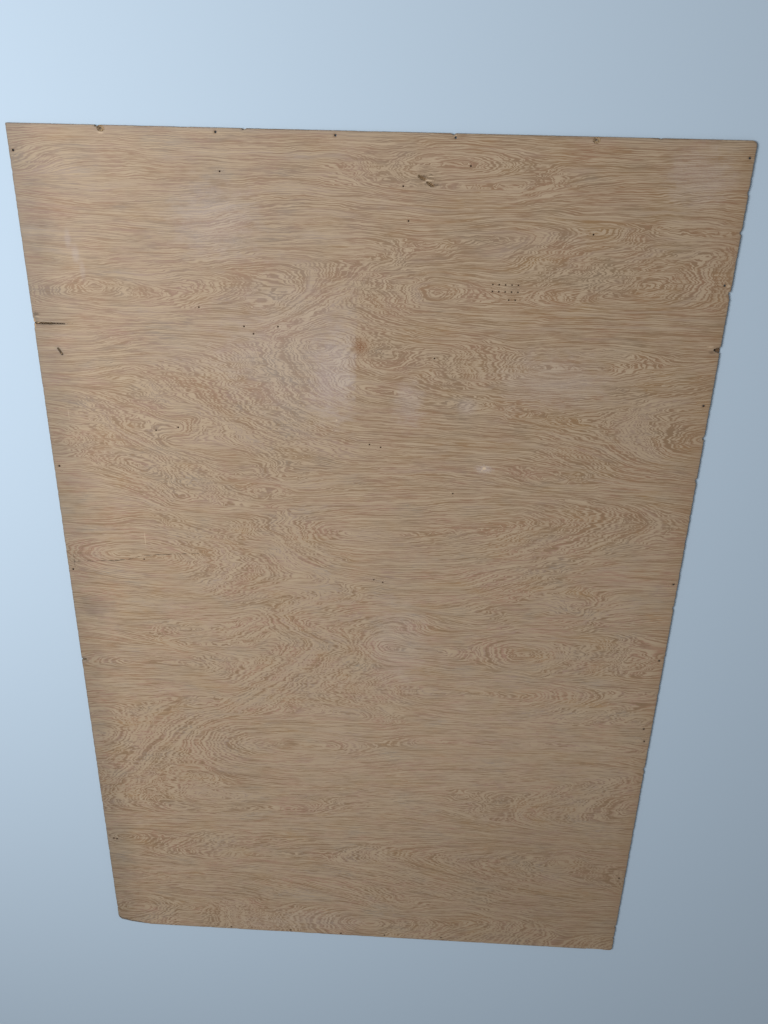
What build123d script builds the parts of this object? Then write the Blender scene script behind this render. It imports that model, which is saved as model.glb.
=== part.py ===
"""A used sheet of thin three-ply plywood that was nailed down round its edges.

The sheet lies on its back with its good face up. X runs along the short side, which is also
the way the face grain runs, Y along the long side and Z through the thickness. The origin is
the centre of the underside. All sizes are in millimetres.
"""
import os

from build123d import *

os.makedirs("parts", exist_ok=True)

# The board as it was cut: a third of a 2440 mm long sheet, with its full width of 1220 mm
sheet_width = 813.0
sheet_length = 1220.0
sheet_thickness = 3.0
face_veneer = 0.7

# Worn corners
top_left_radius = 1.2
top_right_radius = 6.0
bottom_right_radius = 4.5

# The broken corner at the bottom left, as (inset from the left edge, rise from the bottom
# edge): the line where the whole board ends, and the line that the face veneer is torn back to
break_line = [(0.0, 13.0), (4.5, 7.5), (21.0, 3.4), (46.0, 0.0)]
veneer_tear_line = [(0.0, 17.0), (5.5, 11.5), (14.0, 9.2), (23.0, 6.4), (35.0, 5.0), (52.0, 0.0)]

# Edge nails, as (inset from the edge, distance from the nearer end of that edge)
nail_hole_diameter = 2.2
left_nails_from_top = [(4.8, 28.0), (6.8, 404.0), (6.0, 554.0)]
left_nails_from_bottom = [(10.5, 185.0), (15.5, 184.0)]
right_nails_from_top = [(5.2, 17.5), (7.8, 152.0), (7.6, 294.0), (5.4, 538.5)]
right_nails_from_bottom = [(6.4, 562.0), (10.8, 446.0), (7.2, 424.5), (8.4, 158.5)]
top_nails_from_left = [(3.6, 105.5), (4.5, 232.0), (4.9, 363.0)]
top_nails_from_right = [(4.4, 320.0), (3.6, 169.5)]
bottom_nails_from_left = [(3.4, 188.0), (4.2, 287.0), (3.2, 370.0)]
bottom_nails_from_right = [(4.6, 371.0), (6.2, 278.5)]

# Pins across the face, as (distance from the side edge, distance from the top edge)
pin_hole_diameter = 1.6
pins_from_left = [
    (234.5, 44.5),
    (201.5, 195.0),
    (254.0, 216.0),
    (265.0, 224.5),
    (294.5, 215.0),
    (137.0, 350.5),
    (165.5, 345.5),
    (105.0, 534.0),
]
pins_from_right = [
    (302.0, 32.5),
    (368.0, 91.5),
    (375.0, 55.0),
    (161.5, 100.5),
    (332.0, 247.0),
    (408.0, 359.0),
    (394.0, 362.0),
    (301.0, 421.0),
    (399.5, 550.5),
    (387.5, 554.0),
]

# The patch of close pin holes: two full rows, with a short third row below them
patch_hole_diameter = 1.4
patch_from_right = 254.5
patch_from_top = 162.5
patch_pitch_along = 7.3
patch_pitch_across = 7.9
patch_rows = 2
patch_columns = 5
short_row_columns = 2
short_row_shift = 8.5
short_row_drop = 17.0

# The slanted slit beside the left edge
slit_inset = 28.0
slit_from_top = 253.5
slit_length = 9.5
slit_width = 1.7
slit_turn = -60.0

# The split that runs in from the left edge along the grain
split_from_top = 219.8
split_length = 38.0
split_mouth = 2.0
split_tip = 0.5
split_open_part = 0.6

# Two nail holes that tore out to the edge, as the mouth at the edge and the depth
left_tear_from_top = 698.5
left_tear_mouth = 2.6
left_tear_depth = 7.2
right_tear_from_top = 226.0
right_tear_mouth = 7.0
right_tear_depth = 7.4

# Chips through the edges, as (distance from the nearer end, mouth, depth, lean)
# The lean moves the bottom of the chip along the edge, as a share of its mouth.
left_chips_from_bottom = [(36.4, 5.0, 1.6, 0.2)]
right_chips_from_top = [
    (53.5, 5.0, 1.4, 0.1),
    (93.5, 6.0, 1.8, -0.2),
    (163.0, 9.0, 2.6, 0.3),
    (334.0, 6.0, 2.4, -0.3),
    (391.0, 8.0, 1.9, 0.0),
    (575.0, 7.0, 1.6, 0.2),
]
right_chips_from_bottom = [
    (374.5, 8.0, 1.8, -0.1),
    (53.0, 7.0, 2.6, 0.2),
    (29.5, 6.0, 2.0, -0.2),
]
top_chips_from_left = [(101.5, 5.0, 2.2, 0.2), (263.5, 5.0, 1.6, 0.2)]
top_chips_from_right = [(323.0, 5.0, 1.8, -0.2), (102.0, 4.0, 1.2, 0.0)]
chip_bottom_share = 0.3
chip_shallow_side = 0.8

# Face veneer gone down to the core, as ovals (along the edge, into the sheet)
nail_tear_size = (8.0, 6.5)
split_mouth_tear_size = (12.5, 5.6)
lens_from_right = 28.5
lens_size = (27.5, 4.8)

# The torn knot: two hollows side by side on a slant
knot_from_right = 350.0
knot_from_top = 49.0
knot_hollow_size = (10.0, 3.4)
knot_hollow_spread = (9.5, -6.5)
knot_hollow_turn = -28.0

# How far a cut runs out past the edge that it opens
overrun = 5.0

left = -sheet_width / 2
right = sheet_width / 2
bottom = -sheet_length / 2
top = sheet_length / 2


def chip_outline(mouth, depth, lean):
    """A chip with its mouth on the local X axis and its uneven bottom towards local +Y."""
    half_bottom = chip_bottom_share / 2
    return [
        (-mouth / 2, -overrun),
        (mouth / 2, -overrun),
        (mouth / 2, 0),
        (mouth * (lean + half_bottom), depth),
        (mouth * (lean - half_bottom), chip_shallow_side * depth),
        (-mouth / 2, 0),
    ]


def tear_outline(mouth, throat, depth):
    """A cut that is as wide as its mouth at the edge and as its throat at its far end."""
    return [
        (-mouth / 2, -overrun),
        (mouth / 2, -overrun),
        (mouth / 2, 0),
        (throat / 2, depth),
        (-throat / 2, depth),
        (-mouth / 2, 0),
    ]


def on_left(along):
    """A place on the left edge, turned so that local +Y points into the sheet."""
    return Location((left, along, 0), -90)


def on_right(along):
    """A place on the right edge, turned so that local +Y points into the sheet."""
    return Location((right, along, 0), 90)


def on_top(along):
    """A place on the top edge, turned so that local +Y points into the sheet."""
    return Location((along, top, 0), 180)


def from_corner(points):
    """Points given from the bottom left corner of the uncut board."""
    return [(left + inset, bottom + rise) for inset, rise in points]


# Each through chip as its place and its (mouth, depth, lean)
chips = [(on_left(bottom + along), shape) for along, *shape in left_chips_from_bottom]
chips += [(on_right(top - along), shape) for along, *shape in right_chips_from_top]
chips += [(on_right(bottom + along), shape) for along, *shape in right_chips_from_bottom]
chips += [(on_top(left + along), shape) for along, *shape in top_chips_from_left]
chips += [(on_top(right - along), shape) for along, *shape in top_chips_from_right]

nails = [(left + inset, top - along) for inset, along in left_nails_from_top]
nails += [(left + inset, bottom + along) for inset, along in left_nails_from_bottom]
nails += [(right - inset, top - along) for inset, along in right_nails_from_top]
nails += [(right - inset, bottom + along) for inset, along in right_nails_from_bottom]
nails += [(left + along, top - inset) for inset, along in top_nails_from_left]
nails += [(right - along, top - inset) for inset, along in top_nails_from_right]
nails += [(left + along, bottom + inset) for inset, along in bottom_nails_from_left]
nails += [(right - along, bottom + inset) for inset, along in bottom_nails_from_right]

pins = [(left + across, top - down) for across, down in pins_from_left]
pins += [(right - across, top - down) for across, down in pins_from_right]

# The two nails near the top edge whose holes lost a flake of face veneer
flaked_nails = [
    (left + top_nails_from_left[0][1], top - top_nails_from_left[0][0]),
    (right - top_nails_from_right[1][1], top - top_nails_from_right[1][0]),
]

patch_x = right - patch_from_right
patch_y = top - patch_from_top
short_row_y = patch_y + (patch_rows - 1) * patch_pitch_across / 2 - short_row_drop
knot_x = right - knot_from_right
knot_y = top - knot_from_top

with BuildPart() as plywood_sheet:
    with BuildSketch():
        with BuildLine():
            broken_corner = reversed(from_corner(break_line))
            Polyline((left, top), (right, top), (right, bottom), *broken_corner, close=True)
        make_face()
        fillet(vertices().sort_by_distance((left, top))[0], top_left_radius)
        fillet(vertices().sort_by_distance((right, top))[0], top_right_radius)
        fillet(vertices().sort_by_distance((right, bottom))[0], bottom_right_radius)

        # Chips, the split and the torn nail holes go through the whole board
        for place, shape in chips:
            with Locations(place):
                Polygon(*chip_outline(*shape), align=None, mode=Mode.SUBTRACT)
        with Locations(on_left(top - split_from_top)):
            open_part = split_open_part * split_length
            Polygon(*tear_outline(split_mouth, split_tip, split_length), align=None, mode=Mode.SUBTRACT)
            Polygon(*tear_outline(split_mouth, split_mouth, open_part), align=None, mode=Mode.SUBTRACT)
        with Locations(on_left(top - left_tear_from_top)):
            Polygon(
                *tear_outline(left_tear_mouth, nail_hole_diameter, left_tear_depth),
                align=None,
                mode=Mode.SUBTRACT,
            )
        with Locations(on_right(top - right_tear_from_top)):
            Polygon(
                *tear_outline(right_tear_mouth, nail_hole_diameter, right_tear_depth),
                align=None,
                mode=Mode.SUBTRACT,
            )
        with Locations(Location((left + slit_inset, top - slit_from_top, 0), slit_turn)):
            SlotOverall(slit_length, slit_width, mode=Mode.SUBTRACT)
    extrude(amount=sheet_thickness)

    # Face veneer torn back along the broken corner, so that the lower plies stick out
    with BuildSketch(Plane.XY.offset(sheet_thickness)):
        tear_start = veneer_tear_line[0][1]
        tear_end = veneer_tear_line[-1][0]
        past_edges = [(tear_end, -overrun), (-overrun, -overrun), (-overrun, tear_start)]
        Polygon(*from_corner(veneer_tear_line + past_edges), align=None)
    extrude(amount=-face_veneer, mode=Mode.SUBTRACT)

    # Face veneer gone at the split's mouth, along the bottom edge, at two nails and at the knot
    with BuildSketch(Plane.XY.offset(sheet_thickness)):
        with Locations(on_left(top - split_from_top)):
            Ellipse(split_mouth_tear_size[0] / 2, split_mouth_tear_size[1] / 2)
        with Locations((right - lens_from_right, bottom)):
            Ellipse(lens_size[0] / 2, lens_size[1] / 2)
        with Locations(*flaked_nails):
            Ellipse(nail_tear_size[0] / 2, nail_tear_size[1] / 2)
        with Locations((knot_x, knot_y)):
            for side in (-0.5, 0.5):
                hollow = (side * knot_hollow_spread[0], side * knot_hollow_spread[1], 0)
                with Locations(Location(hollow, knot_hollow_turn)):
                    Ellipse(knot_hollow_size[0] / 2, knot_hollow_size[1] / 2)
    extrude(amount=-face_veneer, mode=Mode.SUBTRACT)

    # Nail and pin holes go straight through
    with Locations(*[(x, y, sheet_thickness) for x, y in nails]):
        Hole(nail_hole_diameter / 2)
    with Locations(*[(x, y, sheet_thickness) for x, y in pins]):
        Hole(pin_hole_diameter / 2)
    with Locations((patch_x, patch_y, sheet_thickness)):
        with GridLocations(patch_pitch_along, patch_pitch_across, patch_columns, patch_rows):
            Hole(patch_hole_diameter / 2)
    with Locations((patch_x + short_row_shift, short_row_y, sheet_thickness)):
        with GridLocations(patch_pitch_along, patch_pitch_across, short_row_columns, 1):
            Hole(patch_hole_diameter / 2)

plywood_sheet.part.label = "plywood_sheet"
export_step(plywood_sheet.part, "parts/plywood_sheet.step")
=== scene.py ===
# %% [markdown]
# # A used sheet of three-ply plywood
#
# The real object is one thin sheet: three veneers, peeled from a log, glued crosswise and
# pressed. It was nailed down round its edges for years and pulled off again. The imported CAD
# model gives its outline, its thickness and its holes. This script dresses it: torn fibres and
# ragged plies in the mesh, and the wood's figure, stains and dirt in procedural materials.

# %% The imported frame
import math

import bmesh
import bpy
import numpy as np
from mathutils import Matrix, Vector, bvhtree, geometry, kdtree


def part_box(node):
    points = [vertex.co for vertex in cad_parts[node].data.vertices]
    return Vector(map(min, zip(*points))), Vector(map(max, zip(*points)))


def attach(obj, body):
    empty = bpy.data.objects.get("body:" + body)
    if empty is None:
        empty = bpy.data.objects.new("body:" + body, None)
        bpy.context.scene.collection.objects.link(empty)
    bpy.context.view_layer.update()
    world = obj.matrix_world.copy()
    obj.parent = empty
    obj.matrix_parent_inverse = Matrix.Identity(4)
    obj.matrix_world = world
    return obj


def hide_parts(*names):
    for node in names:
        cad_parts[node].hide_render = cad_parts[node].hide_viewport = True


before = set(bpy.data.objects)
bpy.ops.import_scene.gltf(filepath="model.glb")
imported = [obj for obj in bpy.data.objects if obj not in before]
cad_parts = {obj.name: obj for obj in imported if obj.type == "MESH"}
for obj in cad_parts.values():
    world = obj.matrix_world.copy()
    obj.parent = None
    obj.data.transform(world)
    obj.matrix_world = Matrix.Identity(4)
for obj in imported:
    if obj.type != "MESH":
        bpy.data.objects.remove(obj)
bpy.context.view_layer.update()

MM = 0.001
low, high = [[c / MM for c in corner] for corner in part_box("plywood_sheet")]
top = high[2]
print("sheet, mm:", [round(b - a, 2) for a, b in zip(low, high)])

# %% [markdown]
# ## The outline, taken from the CAD mesh
#
# A sawn and torn edge is never a clean line, so the sheet gets a mesh of its own. Its outline
# and holes have to be the CAD model's, so they are read from the CAD mesh: every edge between
# an upward face and a wall is a line of the plan. The mesh comes as loose triangles, so a copy
# of it is merged first. Each line is then given even points, close enough for raggedness.

# %% Lines of the plan
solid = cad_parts["plywood_sheet"]
merge_within = 2e-6
faces_up = 0.9
copy = bmesh.new()
copy.from_mesh(solid.data)
bmesh.ops.remove_doubles(copy, verts=copy.verts, dist=merge_within)
cad_faces = bvhtree.BVHTree.FromBMesh(copy)


def spot(vert):
    return round(vert.co.x / MM, 3), round(vert.co.y / MM, 3)


neighbours = {}
for edge in copy.edges:
    a, b = spot(edge.verts[0]), spot(edge.verts[1])
    if sum(face.normal.z > faces_up for face in edge.link_faces) == 1 and a != b:
        neighbours.setdefault(a, set()).add(b)
        neighbours.setdefault(b, set()).add(a)
copy.free()


def lines_of(neighbours):
    """The plan's lines, each from one junction to the next or once round a loop."""
    used, found = set(), []
    junctions = [p for p in sorted(neighbours) if len(neighbours[p]) != 2]
    for start in junctions + sorted(neighbours):
        for step in sorted(neighbours[start]):
            if (start, step) in used:
                continue
            line = [start, step]
            used |= {(start, step), (step, start)}
            while len(neighbours[line[-1]]) == 2 and line[-1] != start:
                onward = next(p for p in sorted(neighbours[line[-1]]) if p != line[-2])
                used |= {(line[-1], onward), (onward, line[-1])}
                line.append(onward)
            found.append(line)
    return found


plan_lines = lines_of(neighbours)
print("lines of the plan:", len(plan_lines))

# %% Even points along each line
least_step = 0.4
corner_turn = math.radians(40)
step_up_the_sides = 1.25
step_elsewhere = 2.0


def even(line):
    """Points at least least_step apart, with the corners kept and the long stretches divided."""
    kept = [line[0]]
    for here, after in zip(line[1:], line[2:]):
        before = kept[-1]
        into = math.atan2(here[1] - before[1], here[0] - before[0])
        out = math.atan2(after[1] - here[1], after[0] - here[0])
        turn = abs((out - into + math.pi) % (2 * math.pi) - math.pi)
        if math.dist(before, here) >= least_step or turn > corner_turn:
            kept.append(here)
    if len(kept) > 3 and math.dist(kept[-1], line[-1]) < least_step / 2:
        kept.pop()
    kept.append(line[-1])
    spaced = []
    for a, b in zip(kept, kept[1:]):
        upright = abs(b[1] - a[1]) > abs(b[0] - a[0])
        parts = math.ceil(math.dist(a, b) / (step_up_the_sides if upright else step_elsewhere))
        for k in range(parts):
            spaced.append(tuple(round(p + (q - p) * (k / parts), 4) for p, q in zip(a, b)))
    return spaced + [kept[-1]]


class Plan:
    """Points in the plane, in millimetres, and the lines that join them."""

    def __init__(self):
        self.points, self.index, self.edges = [], {}, []

    def add(self, point):
        if point not in self.index:
            self.index[point] = len(self.points)
            self.points.append(point)
        return self.index[point]

    def join(self, line):
        ids = [self.add(point) for point in line]
        self.edges += [pair for pair in zip(ids, ids[1:]) if pair[0] != pair[1]]
        return ids


widest_hole = 3.0
pin_radius = 0.9
plan = Plan()
holes = []
for line in plan_lines:
    spaced = even(line)
    ids = plan.join(spaced)
    wide = np.ptp(np.array(spaced), axis=0).max()
    if line[0] == line[-1] and wide < widest_hole:
        centre = np.mean(spaced[:-1], axis=0)
        holes.append(
            {"ids": set(ids), "at": centre, "radius": wide / 2, "pin": wide / 2 <= pin_radius}
        )
outline_points = len(plan.points)
print("points on the outline:", outline_points, "nail and pin holes:", len(holes))

# %% [markdown]
# ## Cracks
#
# A dry veneer cracks along its grain. The crack is too fine for the CAD model, so it is cut
# here: two banks and a bed between them, and only the bed goes down, deep here and nearly
# closed there, which is why the real one reads as a dotted line.

# %% Wandering values
def wander(place, step, seed):
    """Smooth random values from -1 to 1 along a line, with a bend about every step."""
    knots = np.random.default_rng(seed).uniform(-1, 1, 4096)
    s = np.asarray(place, float) / step + 1500
    i = np.floor(s).astype(int)
    t = s - i
    t = t * t * (3 - 2 * t)
    return knots[i % 4096] * (1 - t) + knots[(i + 1) % 4096] * t


def on_sheet(across, down):
    """A place given from the left and top edges, in the CAD frame, both in millimetres."""
    return low[0] + across, high[1] - down


# %% Crack lines, from the left and top edges
# Each crack as its half width, its depth, its waver and its points
cracks = [
    (0.60, 0.75, 0.45,
     [(9, 542), (58, 538.3), (80.6, 536), (106.6, 528), (157, 523.5), (180.4, 521.8)]),
    (0.45, 0.50, 0.10, [(9, 530), (9.6, 538), (9, 545), (9.5, 552)]),
    (0.36, 0.60, 0.20, [(463.9, 46.4), (467.5, 45.7), (472.2, 46.3)]),
    (0.24, 0.40, 0.20, [(465.2, 43.0), (468, 42.4), (471, 43.2)]),
    (0.36, 0.50, 0.10, [(558.2, 291), (560, 289.6), (562, 289.3), (563.8, 290.4)]),
    (0.34, 0.50, 0.15, [(38.3, 219.7), (43, 219.2), (49, 219.5)]),
    (0.20, 0.35, 0.20, [(640, 697.5), (652, 693), (668, 684), (689, 672.5)]),
    (0.18, 0.25, 0.15, [(6.8, 407.5), (8.2, 410), (9.8, 412.5)]),
]
crack_step = 1.4
tapers_over = 2.5
bend_every = 5
opens_every = 3.2
bed_drop = {}


def along(points):
    """How far along a bent line each of its points lies."""
    return np.concatenate([[0], np.cumsum(np.hypot(*np.diff(points, axis=0).T))])


def cut_crack(number, half_width, depth, waver, points):
    points = np.array([on_sheet(*p) for p in points])
    run = along(points)
    s = np.linspace(0, run[-1], max(4, math.ceil(run[-1] / crack_step)))
    x, y = np.interp(s, run, points[:, 0]), np.interp(s, run, points[:, 1])
    normal = np.column_stack([-np.gradient(y), np.gradient(x)])
    normal /= np.hypot(*normal.T)[:, None]
    ends = np.minimum(1, np.minimum(s, run[-1] - s) / tapers_over)
    off_line = wander(s, bend_every, 40 + number) * waver * ends
    middle = np.column_stack([x, y]) + normal * off_line[:, None]
    openness = np.clip(0.55 + 0.7 * wander(s, opens_every, 60 + number), 0.12, 1)
    width = half_width * openness[:, None]
    bed = [tuple(np.round(p, 4)) for p in middle]
    for side in (-1, 1):
        bank = [tuple(np.round(p, 4)) for p in middle + side * width * normal]
        plan.join([bed[0]] + bank[1:-1] + [bed[-1]])
    for identity, drop in zip(plan.join(bed), depth * openness * ends):
        bed_drop[identity] = drop


for number, crack in enumerate(cracks):
    cut_crack(number, *crack)
print("cracks:", len(cracks), "points:", len(plan.points) - outline_points)

# %% [markdown]
# ## One closed mesh with plies
#
# The sheet is a terrace: the face veneer on top, the core laid bare where the veneer tore
# away, and walls between. A constrained Delaunay triangulation fills the plan, and a ray
# down on the CAD mesh says what lies under each triangle: face, core or nothing.

# %% Points inside the outline
face_step = 5.4
core_step = 0.9
face_clear, core_clear, spoke_clear = 1.7, 0.45, 0.35
widest_tear = 60
rounds_about_a_hole = ((0.5, 12), (1.1, 12), (2.0, 14), (3.4, 16))  # distance out, points


def tree_of(points):
    tree = kdtree.KDTree(len(points))
    for i, p in enumerate(points):
        tree.insert((p[0], p[1], 0), i)
    tree.balance()
    return tree


def level_under(x, y):
    """The height of the CAD mesh at a place, in millimetres, or None off the sheet."""
    hit = cad_faces.ray_cast(Vector((x * MM, y * MM, 1)), Vector((0, 0, -1)))[0]
    return None if hit is None else hit.z / MM


def distance(tree, x, y):
    return tree.find((x, y, 0))[2]


line_points = tree_of(plan.points)
nearly_top = top - 0.1
core_height = next(
    round(face.center.z / MM, 3) for face in solid.data.polygons
    if face.normal.z > faces_up and face.center.z / MM < nearly_top
)
print("core laid bare at", core_height, "mm of", top)


def grid(x0, x1, y0, y1, step, jitter, seed):
    xs, ys = np.arange(x0, x1, step), np.arange(y0, y1, step)
    x, y = [a.ravel() for a in np.meshgrid(xs, ys)]
    moved = np.random.default_rng(seed).uniform(-jitter, jitter, (2, len(x)))
    return np.column_stack([x + moved[0], y + moved[1]])


inner = []
for hole in holes:
    for out, count in rounds_about_a_hole:
        for k in range(count):
            angle = 2 * math.pi * (k + 0.5 * (count % 4)) / count
            spoke = hole["radius"] + out
            at = hole["at"] + spoke * np.array([math.cos(angle), math.sin(angle)])
            if distance(line_points, *at) > spoke_clear:
                inner.append(tuple(at))
for line in plan_lines:
    (x0, y0), (x1, y1) = np.min(line, axis=0), np.max(line, axis=0)
    if max(x1 - x0, y1 - y0) < widest_tear:
        for x, y in grid(x0, x1, y0, y1, core_step, 0.2, 5):
            height = level_under(x, y)
            if height and height < nearly_top and distance(line_points, x, y) > core_clear:
                inner.append((x, y))
inner = list(dict.fromkeys(inner))
near = tree_of(plan.points + inner)
for x, y in grid(low[0] + 3, high[0] - 2, low[1] + 3, high[1] - 2, face_step, 0.9, 6):
    if distance(near, x, y) > face_clear:
        inner.append((x, y))
print("points inside:", len(inner))

# %% Triangles and what lies under them
NOTHING, CORE, FACE = 0, 1, 2
least_patch = 0.02
same_point = 1e-6


def fill(points, edges):
    """Triangles over the points, all turned anticlockwise, and the edges that were drawn."""
    made = geometry.delaunay_2d_cdt([Vector(p) for p in points], edges, [], 0, same_point, True)
    number, flat = [], list(points)
    for where, came_from in zip(made[0], made[3]):
        if not came_from:
            flat.append(tuple(where))
        number.append(came_from[0] if came_from else len(flat) - 1)
    flat = np.array(flat)
    triangles = np.array([[number[k] for k in t] for t in made[2]])
    a, b, c = [flat[triangles[:, k]].T for k in range(3)]
    turn = (b[0] - a[0]) * (c[1] - a[1]) - (b[1] - a[1]) * (c[0] - a[0])
    triangles[turn < 0] = triangles[turn < 0][:, ::-1]
    drawn = {
        frozenset(number[k] for k in edge)
        for edge, came_from in zip(made[1], made[4]) if came_from
    }
    return flat, triangles, np.abs(turn) / 2, drawn


def sort_out(flat, triangles, areas, drawn):
    """What lies under each triangle. The drawn lines part the plan into patches, and a ray
    through the largest triangle of each patch settles the whole patch."""
    beside = {}
    for k, (a, b, c) in enumerate(triangles):
        for pair in (frozenset((a, b)), frozenset((b, c)), frozenset((c, a))):
            if pair not in drawn:
                beside.setdefault(pair, []).append(k)
    near = [[] for _ in triangles]
    for both in beside.values():
        if len(both) == 2:
            near[both[0]].append(both[1])
            near[both[1]].append(both[0])
    kinds = np.full(len(triangles), -1)
    for first in range(len(triangles)):
        if kinds[first] >= 0:
            continue
        patch, kinds[first] = [first], NOTHING
        for k in patch:
            for other in near[k]:
                if kinds[other] < 0:
                    kinds[other] = NOTHING
                    patch.append(other)
        if areas[patch].sum() > least_patch:
            widest = triangles[patch[int(np.argmax(areas[patch]))]]
            height = level_under(*flat[widest].mean(axis=0))
            kinds[patch] = NOTHING if height is None else FACE if height > nearly_top else CORE
    return kinds


flat, triangles, areas, drawn = fill(plan.points + inner, plan.edges)
under = sort_out(flat, triangles, areas, drawn)
print("triangles on the face:", (under == FACE).sum(), "on the core:", (under == CORE).sum())

# %% Borders: where the face veneer ends and where the board ends
def border(mask):
    """The directed edges round the masked triangles, which lie on the left of each."""
    sides = {}
    for a, b, c in triangles[mask]:
        sides.update({(a, b): True, (b, c): True, (c, a): True})
    return [(a, b) for a, b in sides if (b, a) not in sides]


def inward(pairs):
    """At each point on a border, the direction into the material."""
    total = {}
    for a, b in pairs:
        d = flat[b] - flat[a]
        n = np.array([-d[1], d[0]]) / np.hypot(*d)
        total[a] = total.get(a, 0) + n
        total[b] = total.get(b, 0) + n
    return {k: n / max(np.hypot(*n), 0.3) for k, n in total.items()}


board_border = border(under > 0)
face_border = border(under == FACE)
into_board, into_face = inward(board_border), inward(face_border)
hole_points = set().union(*[hole["ids"] for hole in holes])
print("edges round the board:", len(board_border), "round the face veneer:", len(face_border))

# %% [markdown]
# ### Ragged plies
#
# The face grain runs across the sheet. So the two long sides are sawn across the face fibres,
# which break out in little teeth, and the short sides are sawn along them, where long thin
# flakes come off. The core's fibres run the other way. Each ply therefore gets its own
# raggedness, and only ever inwards, because the CAD outline is the size the board was cut to.

# %% How far each level draws back from the outline
glue_gap = 0.04
arris = 0.14
veneer = top - core_height
LEVELS = [
    0.0,
    arris,
    veneer - glue_gap,
    veneer + glue_gap,
    core_height - glue_gap,
    core_height + glue_gap,
    top - arris,
    top,
]
CORE_FOOT, CORE_TOP, FACE_TOP = 3, 4, 7
burst_by_level = (0.22, 0.10, 0.04, 0.0, 0.0, 0.03, 0.07, 0.16)
sawn_flat = 0.02


def from_outline(x, y):
    """How far a place lies in from the sheet's left, right, low and high sides."""
    return x - low[0], high[0] - x, y - low[1], high[1] - y


def ragged(level, x, y):
    """How far a level is drawn back at a place on the outline, in millimetres."""
    left_in, right_in, low_in, high_in = from_outline(x, y)
    rounded = 0.10 if level in (0, FACE_TOP) else 0.0
    if min(left_in, right_in, low_in, high_in) > sawn_flat:
        splintered = 0.42 if level > CORE_TOP else 0.10
        teeth = max(0, wander(x + 2 * y, 0.9, 11 + level // 3)) ** 1.2
        return rounded + 0.02 + splintered * teeth
    if min(left_in, right_in) <= sawn_flat:
        worn = 1.0 if right_in < left_in else 0.62
        if level in (CORE_FOOT, CORE_TOP):
            return 0.16 + 0.22 * abs(wander(y, 17, 21)) + 0.10 * abs(wander(y, 3, 22))
        seed = 31 if level > CORE_TOP else 36
        teeth = max(0, wander(y, 1.5, seed)) ** 1.5
        bites = max(0, wander(y, 5.5, seed + 1) - 0.25) * (1 + 0.5 * wander(y, 1.2, seed + 2))
        return rounded + 0.04 + worn * (0.50 * teeth + 0.85 * bites)
    if level in (CORE_FOOT, CORE_TOP):
        return 0.14 + 0.30 * abs(wander(x, 1.3, 41))
    seed = 51 if level > CORE_TOP else 56
    flakes = max(0, wander(x, 15, seed) - 0.30)
    return rounded + 0.04 + 0.80 * flakes + 0.12 * abs(wander(x, 2.6, seed + 1))


def hole_wear(level, x, y):
    """A nail bursts the fibres where it goes in and where it comes out."""
    return burst_by_level[level] * (0.6 + 0.8 * abs(wander(3 * x + 5 * y, 0.9, 61)))


# %% Heights of the face and of the bare core
nail_points = tree_of([flat[i] for i in sorted(hole_points)])
hole_centres = tree_of([hole["at"] for hole in holes])
edge_points = tree_of([flat[i] for i in sorted(set(into_board) - hole_points)])
step_points = tree_of([flat[i] for i in sorted(into_face)])
nail_dent, nail_dent_reach = 0.34, 1.1
pin_dent, pin_dent_reach = 0.16, 0.6
knot_hollow_depth, knot_hollow_reach, knot_bank = 1.25, 14, 1.2
bare_core_relief = 0.30
knot_at = on_sheet(463, 49)


def nearest_hole(x, y):
    """The hole whose middle is nearest to a place, and how far off that middle is."""
    _, number, away = hole_centres.find((x, y, 0))
    return holes[number], away


def face_drop(i, x, y):
    """How far a face point lies under the sheet's top."""
    if i in bed_drop:
        return bed_drop[i]
    hole, away = nearest_hole(x, y)
    depth, reach = (pin_dent, pin_dent_reach) if hole["pin"] else (nail_dent, nail_dent_reach)
    away = max(0.0, away - hole["radius"])
    return depth * math.exp(-((away / reach) ** 2)) if away < 4 * reach else 0.0


def core_drop(x, y):
    """The bare core is rough, with ridges of torn fibre left on it along the face grain."""
    ridges = float(wander(y + 0.12 * x, 0.8, 71)) * (0.7 + 0.3 * float(wander(x, 2.1, 72)))
    deep = knot_hollow_depth if math.dist((x, y), knot_at) < knot_hollow_reach else 0.0
    bank = min(1.0, (distance(step_points, x, y) / knot_bank) ** 0.8)
    return bare_core_relief * (0.5 + 0.5 * ridges) + deep * bank


# %% Points of the solid, level by level
verts, made_at = [], {}


def point(i, level):
    """The mesh vertex of plan point i at a level, made when it is first asked for."""
    if (i, level) in made_at:
        return made_at[i, level]
    x, y = flat[i]
    height = LEVELS[level]
    if level == FACE_TOP:
        height -= face_drop(i, x, y)
    elif level == CORE_TOP and i not in into_board and i not in into_face:
        height -= core_drop(x, y)
    elif level == FACE_TOP - 1 and i in hole_points:
        height -= face_drop(i, x, y) * 0.8
    of_face = level > CORE_TOP or (level == CORE_TOP and i not in into_board)
    ways = into_face if of_face else into_board
    if i in ways:
        amount = hole_wear(level, x, y) if i in hole_points else ragged(level, x, y)
        x, y = flat[i] + ways[i] * amount
    made_at[i, level] = len(verts)
    verts.append((x, y, height))
    return made_at[i, level]


FACE_SLOT, CORE_SLOT, EDGE_SLOT, BACK_SLOT = range(4)
faces, slots = [], []


def add_face(slot, *corners):
    faces.append(corners)
    slots.append(slot)


def add_side(a, b, lowest, highest):
    """The plies' edges from one outline point to the next, between two levels."""
    for down in range(lowest, highest):
        up = down + 1
        add_face(EDGE_SLOT, point(a, down), point(b, down), point(b, up), point(a, up))


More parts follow.
